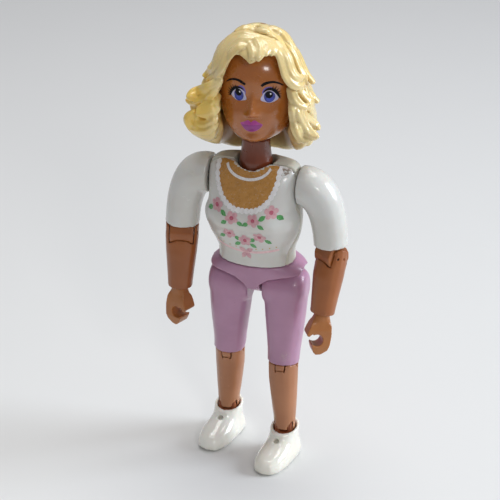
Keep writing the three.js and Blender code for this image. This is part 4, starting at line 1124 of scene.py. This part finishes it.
RIGHT_EYE = Eye(
    "right_eye",
    ((-5.1, 117.9), (-4.5, 118.9), (-3.5, 119.9), (-1.9, 120.2), (-1.1, 119.3), (-0.75, 118.0),
     (-0.45, 117.0), (-1.5, 116.55), (-3.2, 116.3), (-4.4, 116.9)),
    (-2.76, 118.0), (-2.85, 118.85),
    ((-5.35, 117.6), (-4.9, 118.95), (-3.9, 120.05), (-2.7, 120.45), (-1.7, 120.2), (-1.2, 119.6)),
    ((-3.4, 120.3), (-2.2, 121.1), (-1.2, 120.8), (-0.7, 119.7), (-0.75, 118.5), (-1.2, 119.2),
     (-1.65, 120.1),
     (-2.6, 120.35)),
    ((-6.62, 121.25), (-5.6, 122.05), (-4.1, 122.55), (-2.7, 122.45), (-1.6, 122.0), (-0.7, 121.45)),
    ((-5.16, 117.9, -6.4, 118.15), (-5.1, 118.35, -6.5, 119.05), (-4.85, 118.8, -6.15, 120.05),
     (-4.5, 119.35, -5.4, 120.8), (-4.1, 119.8, -4.55, 121.15), (-3.6, 120.15, -3.7, 121.25),
     (-5.25, 117.6, -6.2, 117.45)),
    (0.35, 0.75, 0.85, 0.6, 0.4, 0.2), (0.2, 0.45, 0.6, 0.7, 0.85, 0.6),
)
LEFT_EYE = Eye(
    "left_eye",
    ((3.45, 117.0), (3.8, 118.25), (4.6, 119.4), (5.6, 119.85), (6.7, 119.5), (7.5, 118.35),
     (7.95, 117.25), (7.25, 116.5), (5.9, 116.1), (4.4, 116.45)),
    (5.7, 117.9), (5.58, 118.5),
    ((4.2, 119.3), (4.95, 120.1), (6.0, 120.35), (6.95, 119.8), (7.6, 118.8), (8.1, 117.45)),
    ((3.9, 118.9), (4.1, 119.95), (4.85, 120.8), (5.85, 121.0), (6.6, 120.65), (5.55, 120.2), (4.7, 119.8),
     (4.2, 118.7)),
    ((3.75, 121.18), (4.5, 121.85), (5.6, 122.2), (6.8, 122.25), (8.0, 121.75), (9.1, 120.8)),
    ((6.48, 120.2, 6.85, 121.3), (6.96, 119.9, 7.65, 121.05), (7.33, 119.5, 8.2, 120.35),
     (7.63, 119.0, 8.65, 119.4),
     (7.82, 118.4, 8.75, 118.45), (8.0, 117.9, 8.7, 117.6), (8.1, 117.45, 8.55, 116.95)),
    (0.2, 0.5, 0.75, 0.85, 0.75, 0.3), (0.65, 0.85, 0.75, 0.6, 0.5, 0.2),
)


@dataclass
class Head:
    """Head with its printed face, on the neck.

    Args:
        eyes: The two printed eyes.
        lips: Outline of both lips.
        mouth: Outline of the darker lower lip.
        forms: Finer forms of the face, as in Moulding.
        middle: Place of the chin across in millimetres.
        jaw: How much narrower the jaw gets, as a share of its width.
        jaw_top: Height at which the jaw begins, in millimetres.
        jaw_blend: Height over which it narrows.
        neck_foot: Heights between which the neck widens downwards, in millimetres.
        flare: How much wider the foot of the neck is, as a share of its width.
    """

    eyes: tuple[Eye, ...] = (RIGHT_EYE, LEFT_EYE)
    lips: tuple[Point2, ...] = (
        (-2.1, 109.95), (-1.0, 110.5), (0.0, 111.05), (0.65, 111.0), (1.1, 110.6), (1.67, 111.05),
        (2.3, 111.1),
        (3.15, 110.5), (4.15, 109.8), (3.6, 108.85), (2.7, 108.05), (1.5, 107.5), (0.25, 107.5),
        (-0.8, 108.1),
        (-1.5, 109.0))
    mouth: tuple[Point2, ...] = (
        (-1.75, 109.55), (-0.4, 109.7), (1.1, 109.8), (2.45, 109.85), (3.85, 109.65),
        (3.4, 108.8), (2.5, 108.1), (1.4, 107.65), (0.25, 107.65), (-0.7, 108.2), (-1.35, 109.05))

    forms: tuple[Form, ...] = (
        (1.3, 113.2, 1.1, 0.9, 0.9), (0.1, 112.8, 0.8, 0.6, 0.5), (2.6, 112.9, 0.8, 0.6, 0.5),
        (1.3, 116.2, 0.8, 2.6, 0.55), (1.3, 111.7, 1.8, 0.6, -0.3), (1.2, 109.4, 2.3, 1.2, 0.55),
        (1.2, 107.0, 1.8, 0.7, -0.35), (1.3, 105.1, 1.7, 1.2, 0.6), (-4.4, 112.6, 2.4, 2.2, 0.35),
        (6.6, 112.6, 2.4, 2.2, 0.35), (-2.8, 118.0, 2.2, 1.6, -0.25), (5.8, 118.0, 2.2, 1.6, -0.25))
    middle: float = 1.0
    jaw: float = 0.09
    jaw_top: float = 113.5
    jaw_blend: float = 7.0
    neck_foot: Point2 = (96.5, 102.5)
    flare: float = 0.18

    def build(self) -> None:
        """Makes the neck, the head and the face."""
        neck = Moulding("neck_post", "neck", SHADED_NECK, 0.26, 20).build()
        self._flare_neck(neck)
        head = Moulding("head", "head_and_hair", SKIN, 0.26, 130, 0.8, 75.0, forms=self.forms).build()
        self._narrow_jaw(head)
        press = Print(head, "head_and_hair")
        for eye in self.eyes:
            self.print_eye(press, eye)
        press.lay("lips_print", LIP_LIGHT, [flowing(self.lips, 4, True)], 1)
        press.lay("lower_lip_print", LIP_DARK, [flowing(self.mouth, 4, True)], 2)

    def _flare_neck(self, neck: bpy.types.Object) -> None:
        """Widens the foot of the neck towards the top's neckline.

        Args:
            neck: Neck with its fair skin.
        """
        low, high = self.neck_foot
        middle = sum((vert.co for vert in neck.data.vertices), Vector()) / len(neck.data.vertices)
        for vert in neck.data.vertices:
            wide = unit((high - vert.co.z / MM) / (high - low))
            vert.co.x += (vert.co.x - middle.x) * self.flare * wide * wide
            vert.co.y += (vert.co.y - middle.y) * self.flare * wide * wide

    def _narrow_jaw(self, head: bpy.types.Object) -> None:
        """Draws the sides of the lower face towards the chin.

        Args:
            head: Head with its fair skin.
        """
        for vert in head.data.vertices:
            x, y, z = vert.co / MM
            low = unit((self.jaw_top - z) / self.jaw_blend) * unit((FRONT_FROM - y) / FRONT_BLEND)
            vert.co.x -= (x - self.middle) * self.jaw * low * MM

    @staticmethod
    def _round(middle: Point2, across: float, up: float, count: int = 28) -> list[Point2]:
        """Returns an oval outline."""
        turns = [math.tau * i / count for i in range(count)]
        return [(middle[0] + across * math.cos(turn), middle[1] + up * math.sin(turn))
                for turn in turns]

    @staticmethod
    def _tapered(points: Sequence[Point2], widths: Sequence[float]) -> list[Point2]:
        """Returns the outline of a stroke whose width changes along it."""
        rows = flowing([(x, z, w) for (x, z), w in zip(points, widths)], 6)
        near, far = [], []
        for i, (x, z, width) in enumerate(rows):
            nx, nz = aside(rows[max(i - 1, 0)], rows[min(i + 1, len(rows) - 1)], width)
            near.append((x + nx, z + nz))
            far.append((x - nx, z - nz))
        return near + far[::-1]

    @staticmethod
    def _lash(x: float, z: float, tip_x: float, tip_z: float) -> list[Point2]:
        """Returns the outline of one pointed lash."""
        nx, nz = aside((x, z), (tip_x, tip_z), 0.44)
        return [(x + nx, z + nz), (tip_x, tip_z), (x - nx, z - nz)]

    def print_eye(self, press: Print, eye: Eye) -> None:
        """Prints one eye, its lashes and its brow.

        Args:
            press: Press on the head.
            eye: Outlines of the eye.
        """
        low = (eye.iris[0] + 0.1, eye.iris[1] - 0.85)
        spot = (eye.pupil[0] + 0.42, eye.pupil[1] + 0.22)
        lid = self._tapered(eye.lid, eye.lid_widths)
        layers = (
            ("shadow", LID, [flowing(eye.shadow, 4, True)], 1, 6),
            ("white", EYE_WHITE, [flowing(eye.white, 4, True)], 2, 6),
            ("iris", IRIS, [self._round(eye.iris, *eye.iris_reach)], 3, 6),
            ("iris_light", IRIS_LIGHT, [self._round(low, 0.95, 0.6)], 4, 6),
            ("pupil", BLACK, [self._round(eye.pupil, *eye.pupil_reach)], 5, 6),
            ("glint", GLINT, [self._round(spot, 0.2, 0.3, 12)], 6, 1),
            ("lash", BLACK, [lid, *(self._lash(*lash) for lash in eye.lashes)], 7, 2),
            ("brow", BROW, [self._tapered(eye.brow, eye.brow_widths)], 1, 6),
        )
        for name, ink, shapes, layer, cuts in layers:
            press.lay(f"{eye.name}_{name}_print", ink, shapes, layer, cuts)


Lock = tuple[tuple[float, float, float, float], ...]


@dataclass(frozen=True)
class Hanging:
    """Course of the wavy locks behind, which the photograph does not show.

    Args:
        first: Turn of the first lock from the front in degrees.
        step: Turn between two locks in degrees.
        count: Number of locks.
        places: Places along one lock.
        top: Height of its root on the crown, in degrees over the head's centre.
        descent: Degrees that it would come down over its whole length.
        bend: Share of its length at which it leaves the head and hangs.
        drop: How fast it hangs down after the bend, in millimetres per length.
        sway: How far it swings sideways, in degrees.
        waves: How fast it swings, in radians per length.
        sunk: How deep it lies in the shell, in millimetres.
        half: Half width at the root, its gain along the crown and its loss at the tip.
        tip: Share of its length at which the tip begins.
    """

    first: float = 92.0
    step: float = 17.0
    count: int = 11
    places: int = 15
    top: float = 64.0
    descent: float = 146.0
    bend: float = 0.44
    drop: float = 36.0
    sway: float = 7.0
    waves: float = 17.0
    sunk: float = 0.4
    half: Point3 = (1.0, 1.1, 0.7)
    tip: float = 0.85

    def bearings(self) -> list[float]:
        """Returns the turns from the front at which the locks hang, in degrees."""
        return [self.first + self.step * i for i in range(self.count)]


@dataclass(frozen=True)
class Strands:
    """Cut of one lock into strands.

    Args:
        count: Strands side by side in one lock.
        steps: Steps between two places of a lock's path.
        spread: Distance of the outer strands from the middle, as a share of the half width.
        gathered: That share at a lock's end, and its gain per place, both as parts of it.
        thick: Radius at the end as a share of the half width, and its loss in the open.
        blunt: Roundness of the very end, and how fast the full radius is reached.
        lift: Height of an outer strand's middle over the shell, in millimetres.
        crest: How much higher the middle strand lies, in millimetres.
        raised: How many times more lift and crest a lock has on a front flap.
        root: How much deeper the root of a lock lies, in millimetres.
        root_steps: Steps over which the root comes up.
    """

    count: int = 3
    steps: int = 6
    spread: float = 0.6
    gathered: Point2 = (0.25, 0.6)
    thick: Point2 = (0.72, 0.27)
    blunt: Point2 = (0.1, 2.0)
    lift: float = 0.25
    crest: float = 0.2
    raised: Point2 = (2.4, 2.0)
    root: float = 1.1
    root_steps: int = 9


@dataclass
class Hair:
    """Two moulded shells of wavy hair built up from locks of a few strands each.

    Args:
        middle: Centre of the head in millimetres.
        turn: How far the head is turned to its left in degrees.
        hanging: Course of the locks behind.
        strands: Cut of the locks.
        voxels: Mesh size of the bare shell and of the whole one, in millimetres.
        rounds: Smoothing passes of the two.
        crease: Least turn of an edge of the bare shell that is kept, in degrees.
        soft: Reach of such an edge in millimetres.
        crown: How much higher the crown's skin stands than the CAD form, in millimetres.
        crown_from: Height over the centre at which this begins, and over which it grows.
        crown_reach: Reach of the crown across and in depth, in millimetres.
        fall: How much lower the back's rim hangs than the CAD form, in millimetres.
        fall_from: Depth under the centre at which this begins, and over which it grows.
        free: Height below which the rim is rounded off, in millimetres.
        flaps: Heights between which the front's locks turn to lie flat on the flaps.
        behind: How far behind the head's centre the flaps' locks face away from.
        frontal: How much less they face sideways, as a share.
        front_locks: Paths of the front shell's locks as x, y, z and half width in millimetres.
        back_locks: The same for the back shell.
    """

    middle: Point3 = (0.0, 3.5, 117.0)
    turn: float = 8.0
    hanging: Hanging = Hanging()
    strands: Strands = Strands()
    voxels: Point2 = (0.38, 0.24)
    rounds: tuple[int, int] = (110, 7)
    crease: float = 80.0
    soft: float = 0.8
    crown: float = 1.0
    crown_from: Point2 = (8.0, 8.0)
    crown_reach: Point2 = (9.0, 10.0)
    fall: float = 1.0
    fall_from: Point2 = (8.0, 5.0)
    free: float = 112.0
    flaps: Point2 = (124.0, 118.0)
    behind: float = 10.0
    frontal: float = 0.55
    front_locks: tuple[Lock, ...] = (
        ((2.8, -2.4, 134.0, 1.0), (-0.5, -2.8, 134.1, 1.3), (-3.6, -2.3, 133.6, 1.5),
         (-6.0, -3.0, 132.5, 1.6),
         (-7.6, -4.3, 130.6, 1.7), (-8.8, -5.2, 128.2, 1.7), (-10.0, -5.2, 125.4, 1.6),
         (-12.8, -1.0, 121.5, 1.4), (-14.0, -1.1, 120.2, 1.1)),
        ((1.5, -3.8, 133.7, 1.0), (-1.2, -4.4, 133.6, 1.3), (-4.0, -4.7, 132.4, 1.4),
         (-5.7, -5.7, 130.5, 1.5),
         (-6.5, -6.9, 128.2, 1.5), (-7.5, -7.4, 125.6, 1.5), (-9.8, -5.8, 122.4, 1.3),
         (-12.2, -4.0, 120.6, 1.0)),
        ((0.5, -6.1, 132.4, 0.9), (-1.4, -6.5, 132.4, 1.1), (-3.2, -7.1, 131.5, 1.2),
         (-4.8, -7.5, 129.5, 1.2),
         (-6.4, -6.3, 126.5, 1.2), (-7.9, -5.3, 123.3, 1.2), (-8.1, -7.5, 121.7, 1.1),
         (-9.6, -7.5, 120.1, 0.9)),
        ((-7.8, -7.4, 122.9, 1.1), (-8.7, -7.5, 121.1, 1.6), (-10.9, -6.9, 119.4, 1.8),
         (-14.6, -2.9, 116.6, 1.8), (-16.4, -3.8, 115.8, 1.8), (-17.4, -4.6, 114.8, 1.5)),
        ((-8.7, -4.7, 119.4, 1.1), (-9.4, -8.0, 118.8, 1.3), (-12.0, -5.5, 116.0, 1.4),
         (-14.9, -4.0, 113.9, 1.4), (-17.7, -2.1, 112.9, 1.2), (-18.6, -1.9, 113.9, 0.9)),
        ((-9.0, -4.9, 116.7, 1.2), (-9.4, -7.3, 115.8, 1.6), (-10.9, -7.2, 114.4, 1.8),
         (-12.5, -6.9, 113.2, 1.7), (-14.1, -6.6, 112.3, 1.4)),
        ((-9.0, -5.0, 114.1, 1.1), (-8.5, -8.2, 114.2, 1.4), (-9.8, -8.8, 113.3, 1.5),
         (-12.1, -8.0, 112.3, 1.4), (-14.3, -6.9, 111.8, 1.2)),
        ((-15.4, -6.2, 111.7, 1.0), (-17.0, -5.9, 110.1, 1.4), (-17.5, -5.4, 108.1, 1.5),
         (-16.6, -4.4, 106.0, 1.5), (-14.0, -6.2, 106.4, 1.5), (-11.1, -7.7, 107.3, 1.4),
         (-8.8, -8.3, 109.3, 1.2), (-8.8, -3.6, 109.3, 0.9)),
        ((-15.1, -6.4, 111.2, 1.5), (-16.8, -3.9, 108.5, 1.8), (-15.6, -4.7, 107.4, 1.8),
         (-13.4, -6.2, 107.4, 1.5)),
        ((-14.0, -6.9, 110.9, 0.9), (-15.1, -5.4, 109.0, 1.3), (-13.7, -6.0, 108.2, 1.4),
         (-11.2, -7.4, 109.0, 1.4), (-8.5, -9.2, 111.5, 1.2), (-8.8, -3.6, 111.1, 0.9)),
        ((-0.1, -3.1, 134.0, 0.9), (2.1, -4.7, 133.3, 1.3), (3.5, -6.5, 132.0, 1.4), (3.7, -8.0, 130.8, 1.4),
         (2.9, -8.6, 129.7, 1.3)),
        ((-1.0, -5.0, 133.4, 0.9), (0.8, -6.1, 132.5, 1.2), (1.9, -8.0, 131.2, 1.3), (1.8, -8.9, 129.6, 1.2)),
        ((1.8, -2.8, 134.1, 0.9), (4.0, -4.2, 133.1, 1.3), (5.2, -5.4, 131.9, 1.3), (5.2, -7.5, 130.6, 1.0)),
        ((4.0, -2.4, 133.6, 0.9), (5.8, -3.5, 132.4, 1.2), (6.5, -5.0, 131.3, 1.1), (6.1, -5.6, 130.0, 0.8)),
        ((5.5, -1.8, 133.2, 1.0), (6.9, -3.4, 131.6, 1.3), (8.4, -3.8, 129.6, 1.4), (9.4, -3.9, 126.8, 1.5),
         (10.2, -3.9, 124.2, 1.5), (11.6, -3.5, 122.2, 1.5), (12.9, -2.0, 120.9, 1.3),
         (13.6, 1.7, 120.4, 1.0)),
        ((6.7, -0.8, 133.0, 1.0), (8.8, -2.1, 131.1, 1.4), (10.4, -2.5, 128.4, 1.5), (11.3, -2.5, 125.6, 1.5),
         (12.6, -1.9, 123.5, 1.4), (13.5, 1.0, 122.2, 1.0)),
        ((6.9, 2.3, 132.9, 1.0), (9.3, 2.3, 130.5, 1.4), (11.0, 2.4, 127.4, 1.5), (12.2, 2.5, 124.5, 1.5),
         (13.4, 2.4, 122.3, 1.3), (13.3, 3.8, 119.6, 0.9)),
        ((10.6, -2.1, 120.3, 1.1), (11.6, -2.5, 118.5, 1.5), (12.8, -2.6, 116.6, 1.6),
         (14.1, -1.9, 115.3, 1.4), (15.4, -0.3, 114.8, 1.0)),
        ((12.8, -1.8, 120.2, 1.1), (13.5, 0.0, 118.1, 1.4), (14.7, 1.2, 116.0, 1.4), (15.7, 0.7, 114.8, 1.0)),
        ((12.2, -3.3, 116.5, 1.1), (13.4, -3.3, 113.9, 1.5), (14.1, -1.7, 110.7, 1.7),
         (15.5, -1.3, 108.0, 1.7), (17.3, -1.5, 106.5, 1.5), (18.9, -1.0, 106.8, 1.1)),
        ((14.1, -2.7, 114.1, 1.1), (15.1, 0.1, 111.0, 1.4), (16.3, 3.2, 108.1, 1.4), (17.8, 3.1, 106.8, 1.1)),
        ((10.6, -0.9, 116.6, 0.9), (12.1, -4.0, 114.9, 1.2), (12.3, -2.6, 111.4, 1.4),
         (13.1, -3.3, 108.8, 1.5), (14.3, -2.1, 105.7, 1.4), (16.5, -1.8, 105.0, 1.0)),
    )
    back_locks: tuple[Lock, ...] = (
        ((-1.3, 2.5, 135.0, 1.0), (-2.3, 0.3, 134.9, 1.4), (-4.1, -0.5, 134.1, 1.4),
         (-5.2, -1.6, 133.5, 1.0)),
        ((3.2, 3.2, 134.8, 1.0), (4.6, 3.3, 134.2, 1.4), (6.5, 2.7, 133.3, 1.2)),
        ((0.4, 0.0, 135.0, 1.0), (2.2, -0.3, 134.7, 1.3), (4.2, -0.4, 134.1, 1.0)),
        ((3.4, 4.3, 135.0, 1.0), (6.0, 4.5, 133.5, 1.5), (8.4, 3.5, 131.7, 1.6), (10.1, 3.5, 129.3, 1.6),
         (11.4, 4.1, 126.2, 1.5), (12.6, 4.3, 123.6, 1.3), (13.3, 5.8, 120.7, 1.0)),
        ((7.7, 4.8, 132.1, 1.0), (9.7, 4.8, 129.6, 1.4), (11.3, 5.5, 126.3, 1.6), (12.6, 5.3, 123.5, 1.6),
         (14.2, 4.8, 121.2, 1.5), (15.8, 4.5, 119.4, 1.2)),
        ((13.1, 7.7, 117.9, 1.1), (14.2, 7.2, 115.8, 1.5), (15.8, 5.8, 114.4, 1.4), (16.9, 5.8, 113.6, 1.0)),
        ((15.7, -0.3, 114.6, 1.3), (15.7, 4.0, 111.7, 1.6), (15.0, 7.8, 108.3, 1.5), (15.9, 1.2, 109.2, 1.2)),
        ((-6.4, -0.7, 132.8, 1.0), (-9.0, 0.1, 130.5, 1.3), (-9.9, -1.8, 128.1, 1.4),
         (-10.4, -3.9, 125.8, 1.3), (-11.8, -5.0, 124.2, 1.0)),
    )

    def build(self) -> None:
        """Makes both shells."""
        self._shell("hair_front", self.front_locks, ())
        self._shell("hair_back", self.back_locks, self.hanging.bearings())

    def _shell(self, node: str, locks: Sequence[Lock], bearings: Sequence[float]) -> None:
        """Makes one shell.

        Args:
            node: CAD node.
            locks: Paths of its locks.
            bearings: Turns from the front at which further locks hang, in degrees.
        """
        piece = Bench.copy_node(node, node + "_moulding")
        edges = [spot for spot in Bench.sharp_points(piece, self.crease, EDGE_STEP)
                 if spot.z > self.free * MM]
        Bench.fair(piece, self.voxels[0], self.rounds[0], edges, self.soft)
        tree = Bench.tree(piece)
        paths = [*locks, *(self._hang(tree, bearing) for bearing in bearings)]
        parts = [self._lock(f"{node}_lock_{i}", path, not bearings)
                 for i, path in enumerate(paths)]
        Bench.only(piece)
        for part in parts:
            part.select_set(True)
        bpy.ops.object.join()
        Bench.apply(piece, "REMESH", mode="VOXEL", voxel_size=self.voxels[1] * MM)
        Bench.apply(piece, "SMOOTH", factor=0.5, iterations=self.rounds[1])
        self._settle(piece, bool(bearings))
        Bench.only(piece)
        bpy.ops.object.shade_smooth()
        Bench.finish(piece, "head_and_hair", BLONDE, [node])

    def _settle(self, piece: bpy.types.Object, behind: bool) -> None:
        """Raises the crown, and lowers the rim of the back shell.

        Args:
            piece: Shell with its locks.
            behind: Whether it is the back shell.
        """
        base, blend = self.crown_from
        wide, deep = self.crown_reach
        rim, rim_blend = self.fall_from
        for vert in piece.data.vertices:
            x, y, z = vert.co / MM - Vector(self.middle)
            high = unit((z - base) / blend)
            vert.co.z += self.crown * MM * high * math.exp(-(x / wide) ** 2 - (y / deep) ** 2)
            if behind:
                vert.co.z -= self.fall * MM * unit((-rim - z) / rim_blend)

    def _hang(self, tree: BVHTree, bearing: float) -> Lock:
        """Finds the path of a wavy lock from the crown to the lower rim.

        Args:
            tree: Search tree of the shell.
            bearing: Turn of the lock from the front in degrees.

        Returns:
            Places and half widths in millimetres.
        """
        hanging = self.hanging
        half, gain, loss = hanging.half
        path = []
        for i in range(hanging.places):
            run = i / (hanging.places - 1)
            rise = math.radians(max(0.0, hanging.top - hanging.descent * run))
            level = self.middle[2] - max(0.0, run - hanging.bend) * hanging.drop
            sway = hanging.sway * math.sin(run * hanging.waves + math.radians(bearing) * 2.0)
            angle = math.radians(bearing + self.turn + sway * min(1.0, run * 3))
            out = Vector((math.sin(angle) * math.cos(rise), -math.cos(angle) * math.cos(rise),
                          math.sin(rise)))
            centre = Vector((self.middle[0], self.middle[1], level)) * MM
            spot = tree.ray_cast(centre + out * 60 * MM, -out)[0]
            if spot is None:
                continue
            grown = math.sin(min(1.0, run * 2.2) * math.pi / 2)
            wide = half + gain * grown - loss * max(0.0, run - hanging.tip) / 0.15
            path.append((*(spot / MM - out * hanging.sunk), wide))
        return tuple(path)

    def _outward(self, x: float, y: float, z: float, front: bool) -> tuple[Vector, float]:
        """Finds how a lock stands off the shell at a place.

        Args:
            x: Place across in millimetres.
            y: Place in depth.
            z: Place in height.
            front: Whether the lock lies on the front shell.

        Returns:
            The direction outwards, and 0 on the crown to 1 on a front flap.
        """
        high, low = self.flaps
        flap = unit((high - z) / (high - low)) if front else 0.0
        return Vector((
            (x - self.middle[0]) * (1 - self.frontal * flap),
            y - self.middle[1] - self.behind * flap,
            max(0.0, z - self.middle[2]))).normalized(), flap

    def _lock(self, name: str, path: Lock, front: bool) -> bpy.types.Object:
        """Sweeps the strands of one lock along its path.

        Args:
            name: Name of the lock.
            path: Places and half widths in millimetres.
            front: Whether it lies on the front shell.

        Returns:
            The lock as a mesh.
        """
        cut = self.strands
        curve = bpy.data.curves.new(name, "CURVE")
        curve.dimensions = "3D"
        curve.bevel_depth = MM
        curve.bevel_resolution = 3
        curve.use_fill_caps = True
        line = flowing(path, cut.steps)
        last = len(line) - 1
        for strand in range(cut.count):
            share = 2 * strand / (cut.count - 1) - 1
            spline = curve.splines.new("POLY")
            spline.points.add(last)
            for i, (x, y, z, half) in enumerate(line):
                outward, flap = self._outward(x, y, z, front)
                before, after = line[max(i - 1, 0)][:3], line[min(i + 1, last)][:3]
                side = outward.cross(Vector(after) - Vector(before)).normalized()
                near = min(i, last - i) / cut.steps
                opened = min(1.0, cut.gathered[0] + near * cut.gathered[1])
                full = min(1.0, near * cut.blunt[1] + cut.blunt[0])
                lift = cut.lift * (1 + cut.raised[0] * flap)
                lift -= cut.root * max(0.0, 1 - i / cut.root_steps)
                lift += (1 - abs(share)) * cut.crest * (1 + cut.raised[1] * flap)
                centre = Vector((x, y, z)) + side * (share * half * cut.spread * opened)
                spline.points[i].co = (*((centre + outward * lift) * MM), 1.0)
                spline.points[i].radius = (
                    half * (cut.thick[0] - cut.thick[1] * opened) * math.sqrt(1 - (1 - full) ** 2))
        Bench.only(Bench.link(name, curve))
        bpy.ops.object.convert(target="MESH")
        return bpy.context.object


# ---------------------------------------------------------------- studio


@dataclass
class Studio:
    """Pale floor, soft lamps and the photograph's camera.

    Args:
        azimuth: Camera's turn from the front in degrees.
        elevation: Camera's height over the horizon in degrees.
        distance: Distance of the camera from its target in millimetres.
        target: Point that the camera looks at in millimetres.
        focal: Focal length in pixels of the photograph.
        frame_side: Side of the photograph in pixels.
        sensor: Width of the camera's sensor in millimetres.
        lamps: Name, place and size in metres, power in watts and colour of each lamp.
        sky: Colour of the room's even light.
        sky_strength: Strength of that light.
        floor_side: Side of the floor in metres.
        floor_drop: How far the floor lies under the soles, in metres.
        paper_and_shade: Colour of the floor near the camera and far from it; the darker far colour is painted
            shade.
        depth: Places along Y between which the one turns into the other, in metres.
        shadow: Colour of the floor's darker side.
        shadow_span: Places along X between which it darkens, in metres.
        shadow_share: How far it darkens.
    """

    azimuth: float = 17.0
    elevation: float = 26.0
    distance: float = 580.0
    target: Point3 = (-2.25, 2.89, 65.7)
    focal: float = 1970.0
    frame_side: int = 500
    sensor: float = 36.0
    lamps: tuple[tuple[str, Point3, float, float, Colour], ...] = (
        ("window_lamp", (0.68, 0.2, 0.36), 0.4, 5.2, (0.83, 0.91, 1.0)),
        ("front_lamp", (0.42, -0.6, 0.5), 0.16, 1.0, (1.0, 0.99, 0.97)),
        ("top_lamp", (0.0, 0.2, 0.95), 0.7, 5.4, (1.0, 0.995, 0.98)),
    )
    sky: Colour = (0.92, 0.94, 1.0)
    sky_strength: float = 0.3
    floor_side: float = 8.0
    floor_drop: float = 0.00002
    paper_and_shade: tuple[Colour, Colour] = ((0.76, 0.755, 0.74), (0.55, 0.545, 0.545))
    depth: Point2 = (-0.25, 0.75)
    shadow: Colour = (0.2, 0.2, 0.2)
    shadow_span: Point2 = (-0.1, 0.3)
    shadow_share: float = 0.24

    def build(self) -> None:
        """Makes the camera, floor, lamps and world."""
        self._camera()
        self._floor()
        for lamp in self.lamps:
            self._lamp(*lamp)
        self._world()
        bpy.context.scene.view_settings.view_transform = "Standard"

    def _camera(self) -> None:
        """Makes the camera at the photograph's angle."""
        turn, rise = math.radians(self.azimuth), math.radians(self.elevation)
        back = Vector((math.sin(turn) * math.cos(rise), -math.cos(turn) * math.cos(rise),
                       math.sin(rise)))
        data = bpy.data.cameras.new("photo_camera")
        data.sensor_fit = "HORIZONTAL"
        data.sensor_width = self.sensor
        data.lens = self.focal / self.frame_side * self.sensor
        data.clip_start, data.clip_end = 0.01, 10.0
        camera = Bench.link("photo_camera", data)
        camera.location = Vector(self.target) * MM + back * self.distance * MM
        camera.rotation_mode = "QUATERNION"
        camera.rotation_quaternion = (-back).to_track_quat("-Z", "Y")
        bpy.context.scene.camera = camera

    def _floor(self) -> None:
        """Makes the pale floor, with painted shade far from the camera and a painted shadow to one side."""
        bpy.ops.mesh.primitive_plane_add(
            size=self.floor_side, location=(0, 0, CAD_BOX[0].z - self.floor_drop))
        floor = bpy.context.object
        floor.name = "floor"
        material, graph = Graph.of_material("floor_paper")
        # Painted shade: the floor darkens away from the camera, and a painted shadow darkens one side.
        colour = graph.mix(graph.axis("Y").between(*self.depth), *self.paper_and_shade)
        dark = graph.axis("X").between(*self.shadow_span) * self.shadow_share
        colour = graph.mix(dark, colour, self.shadow)
        rough = graph.noise(40, 2) * 0.1 + 0.55
        shader = graph.node("BsdfPrincipled", Base_Color=colour, Roughness=rough)
        graph.node("OutputMaterial", Surface=graph.value(shader))
        floor.data.materials.append(material)

    def _lamp(self, name: str, place: Point3, size: float, power: float,
              colour: Colour) -> None:
        """Makes one soft lamp that faces the figure.

        Args:
            name: Name of the lamp.
            place: Its place in metres.
            size: Width of the lamp in metres.
            power: Power in watts.
            colour: Colour of the light.
        """
        data = bpy.data.lights.new(name, "AREA")
        data.shape = "DISK"
        data.size = size
        data.energy = power
        data.color = colour
        lamp = Bench.link(name, data)
        lamp.location = place
        aim = Vector((0, 0, self.target[2] * MM)) - Vector(place)
        lamp.rotation_mode = "QUATERNION"
        lamp.rotation_quaternion = aim.to_track_quat("-Z", "Y")

    def _world(self) -> None:
        """Makes the even light of a pale room."""
        world = bpy.data.worlds.new("pale_room")
        world.use_nodes = True
        world.node_tree.nodes.clear()
        graph = Graph(world.node_tree)
        sky = graph.node("Background", Color=self.sky, Strength=self.sky_strength)
        graph.node("OutputWorld", Surface=graph.value(sky))
        bpy.context.scene.world = world


def main() -> None:
    """Builds the figure and the studio in order."""
    logging.basicConfig(level=logging.INFO, format="%(name)s: %(message)s")
    Studio().build()
    for name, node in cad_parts.items():
        if name.endswith(("_pin", "_axle")):
            node.data.materials.clear()
            node.data.materials.append(STEEL.build())
    Hips().build()
    for side in (Side.LEFT, Side.RIGHT):
        Leg(side).build()
        Arm(side).build()
    Torso().build()
    Head().build()
    Hair().build()


if __name__ == "__main__":
    main()
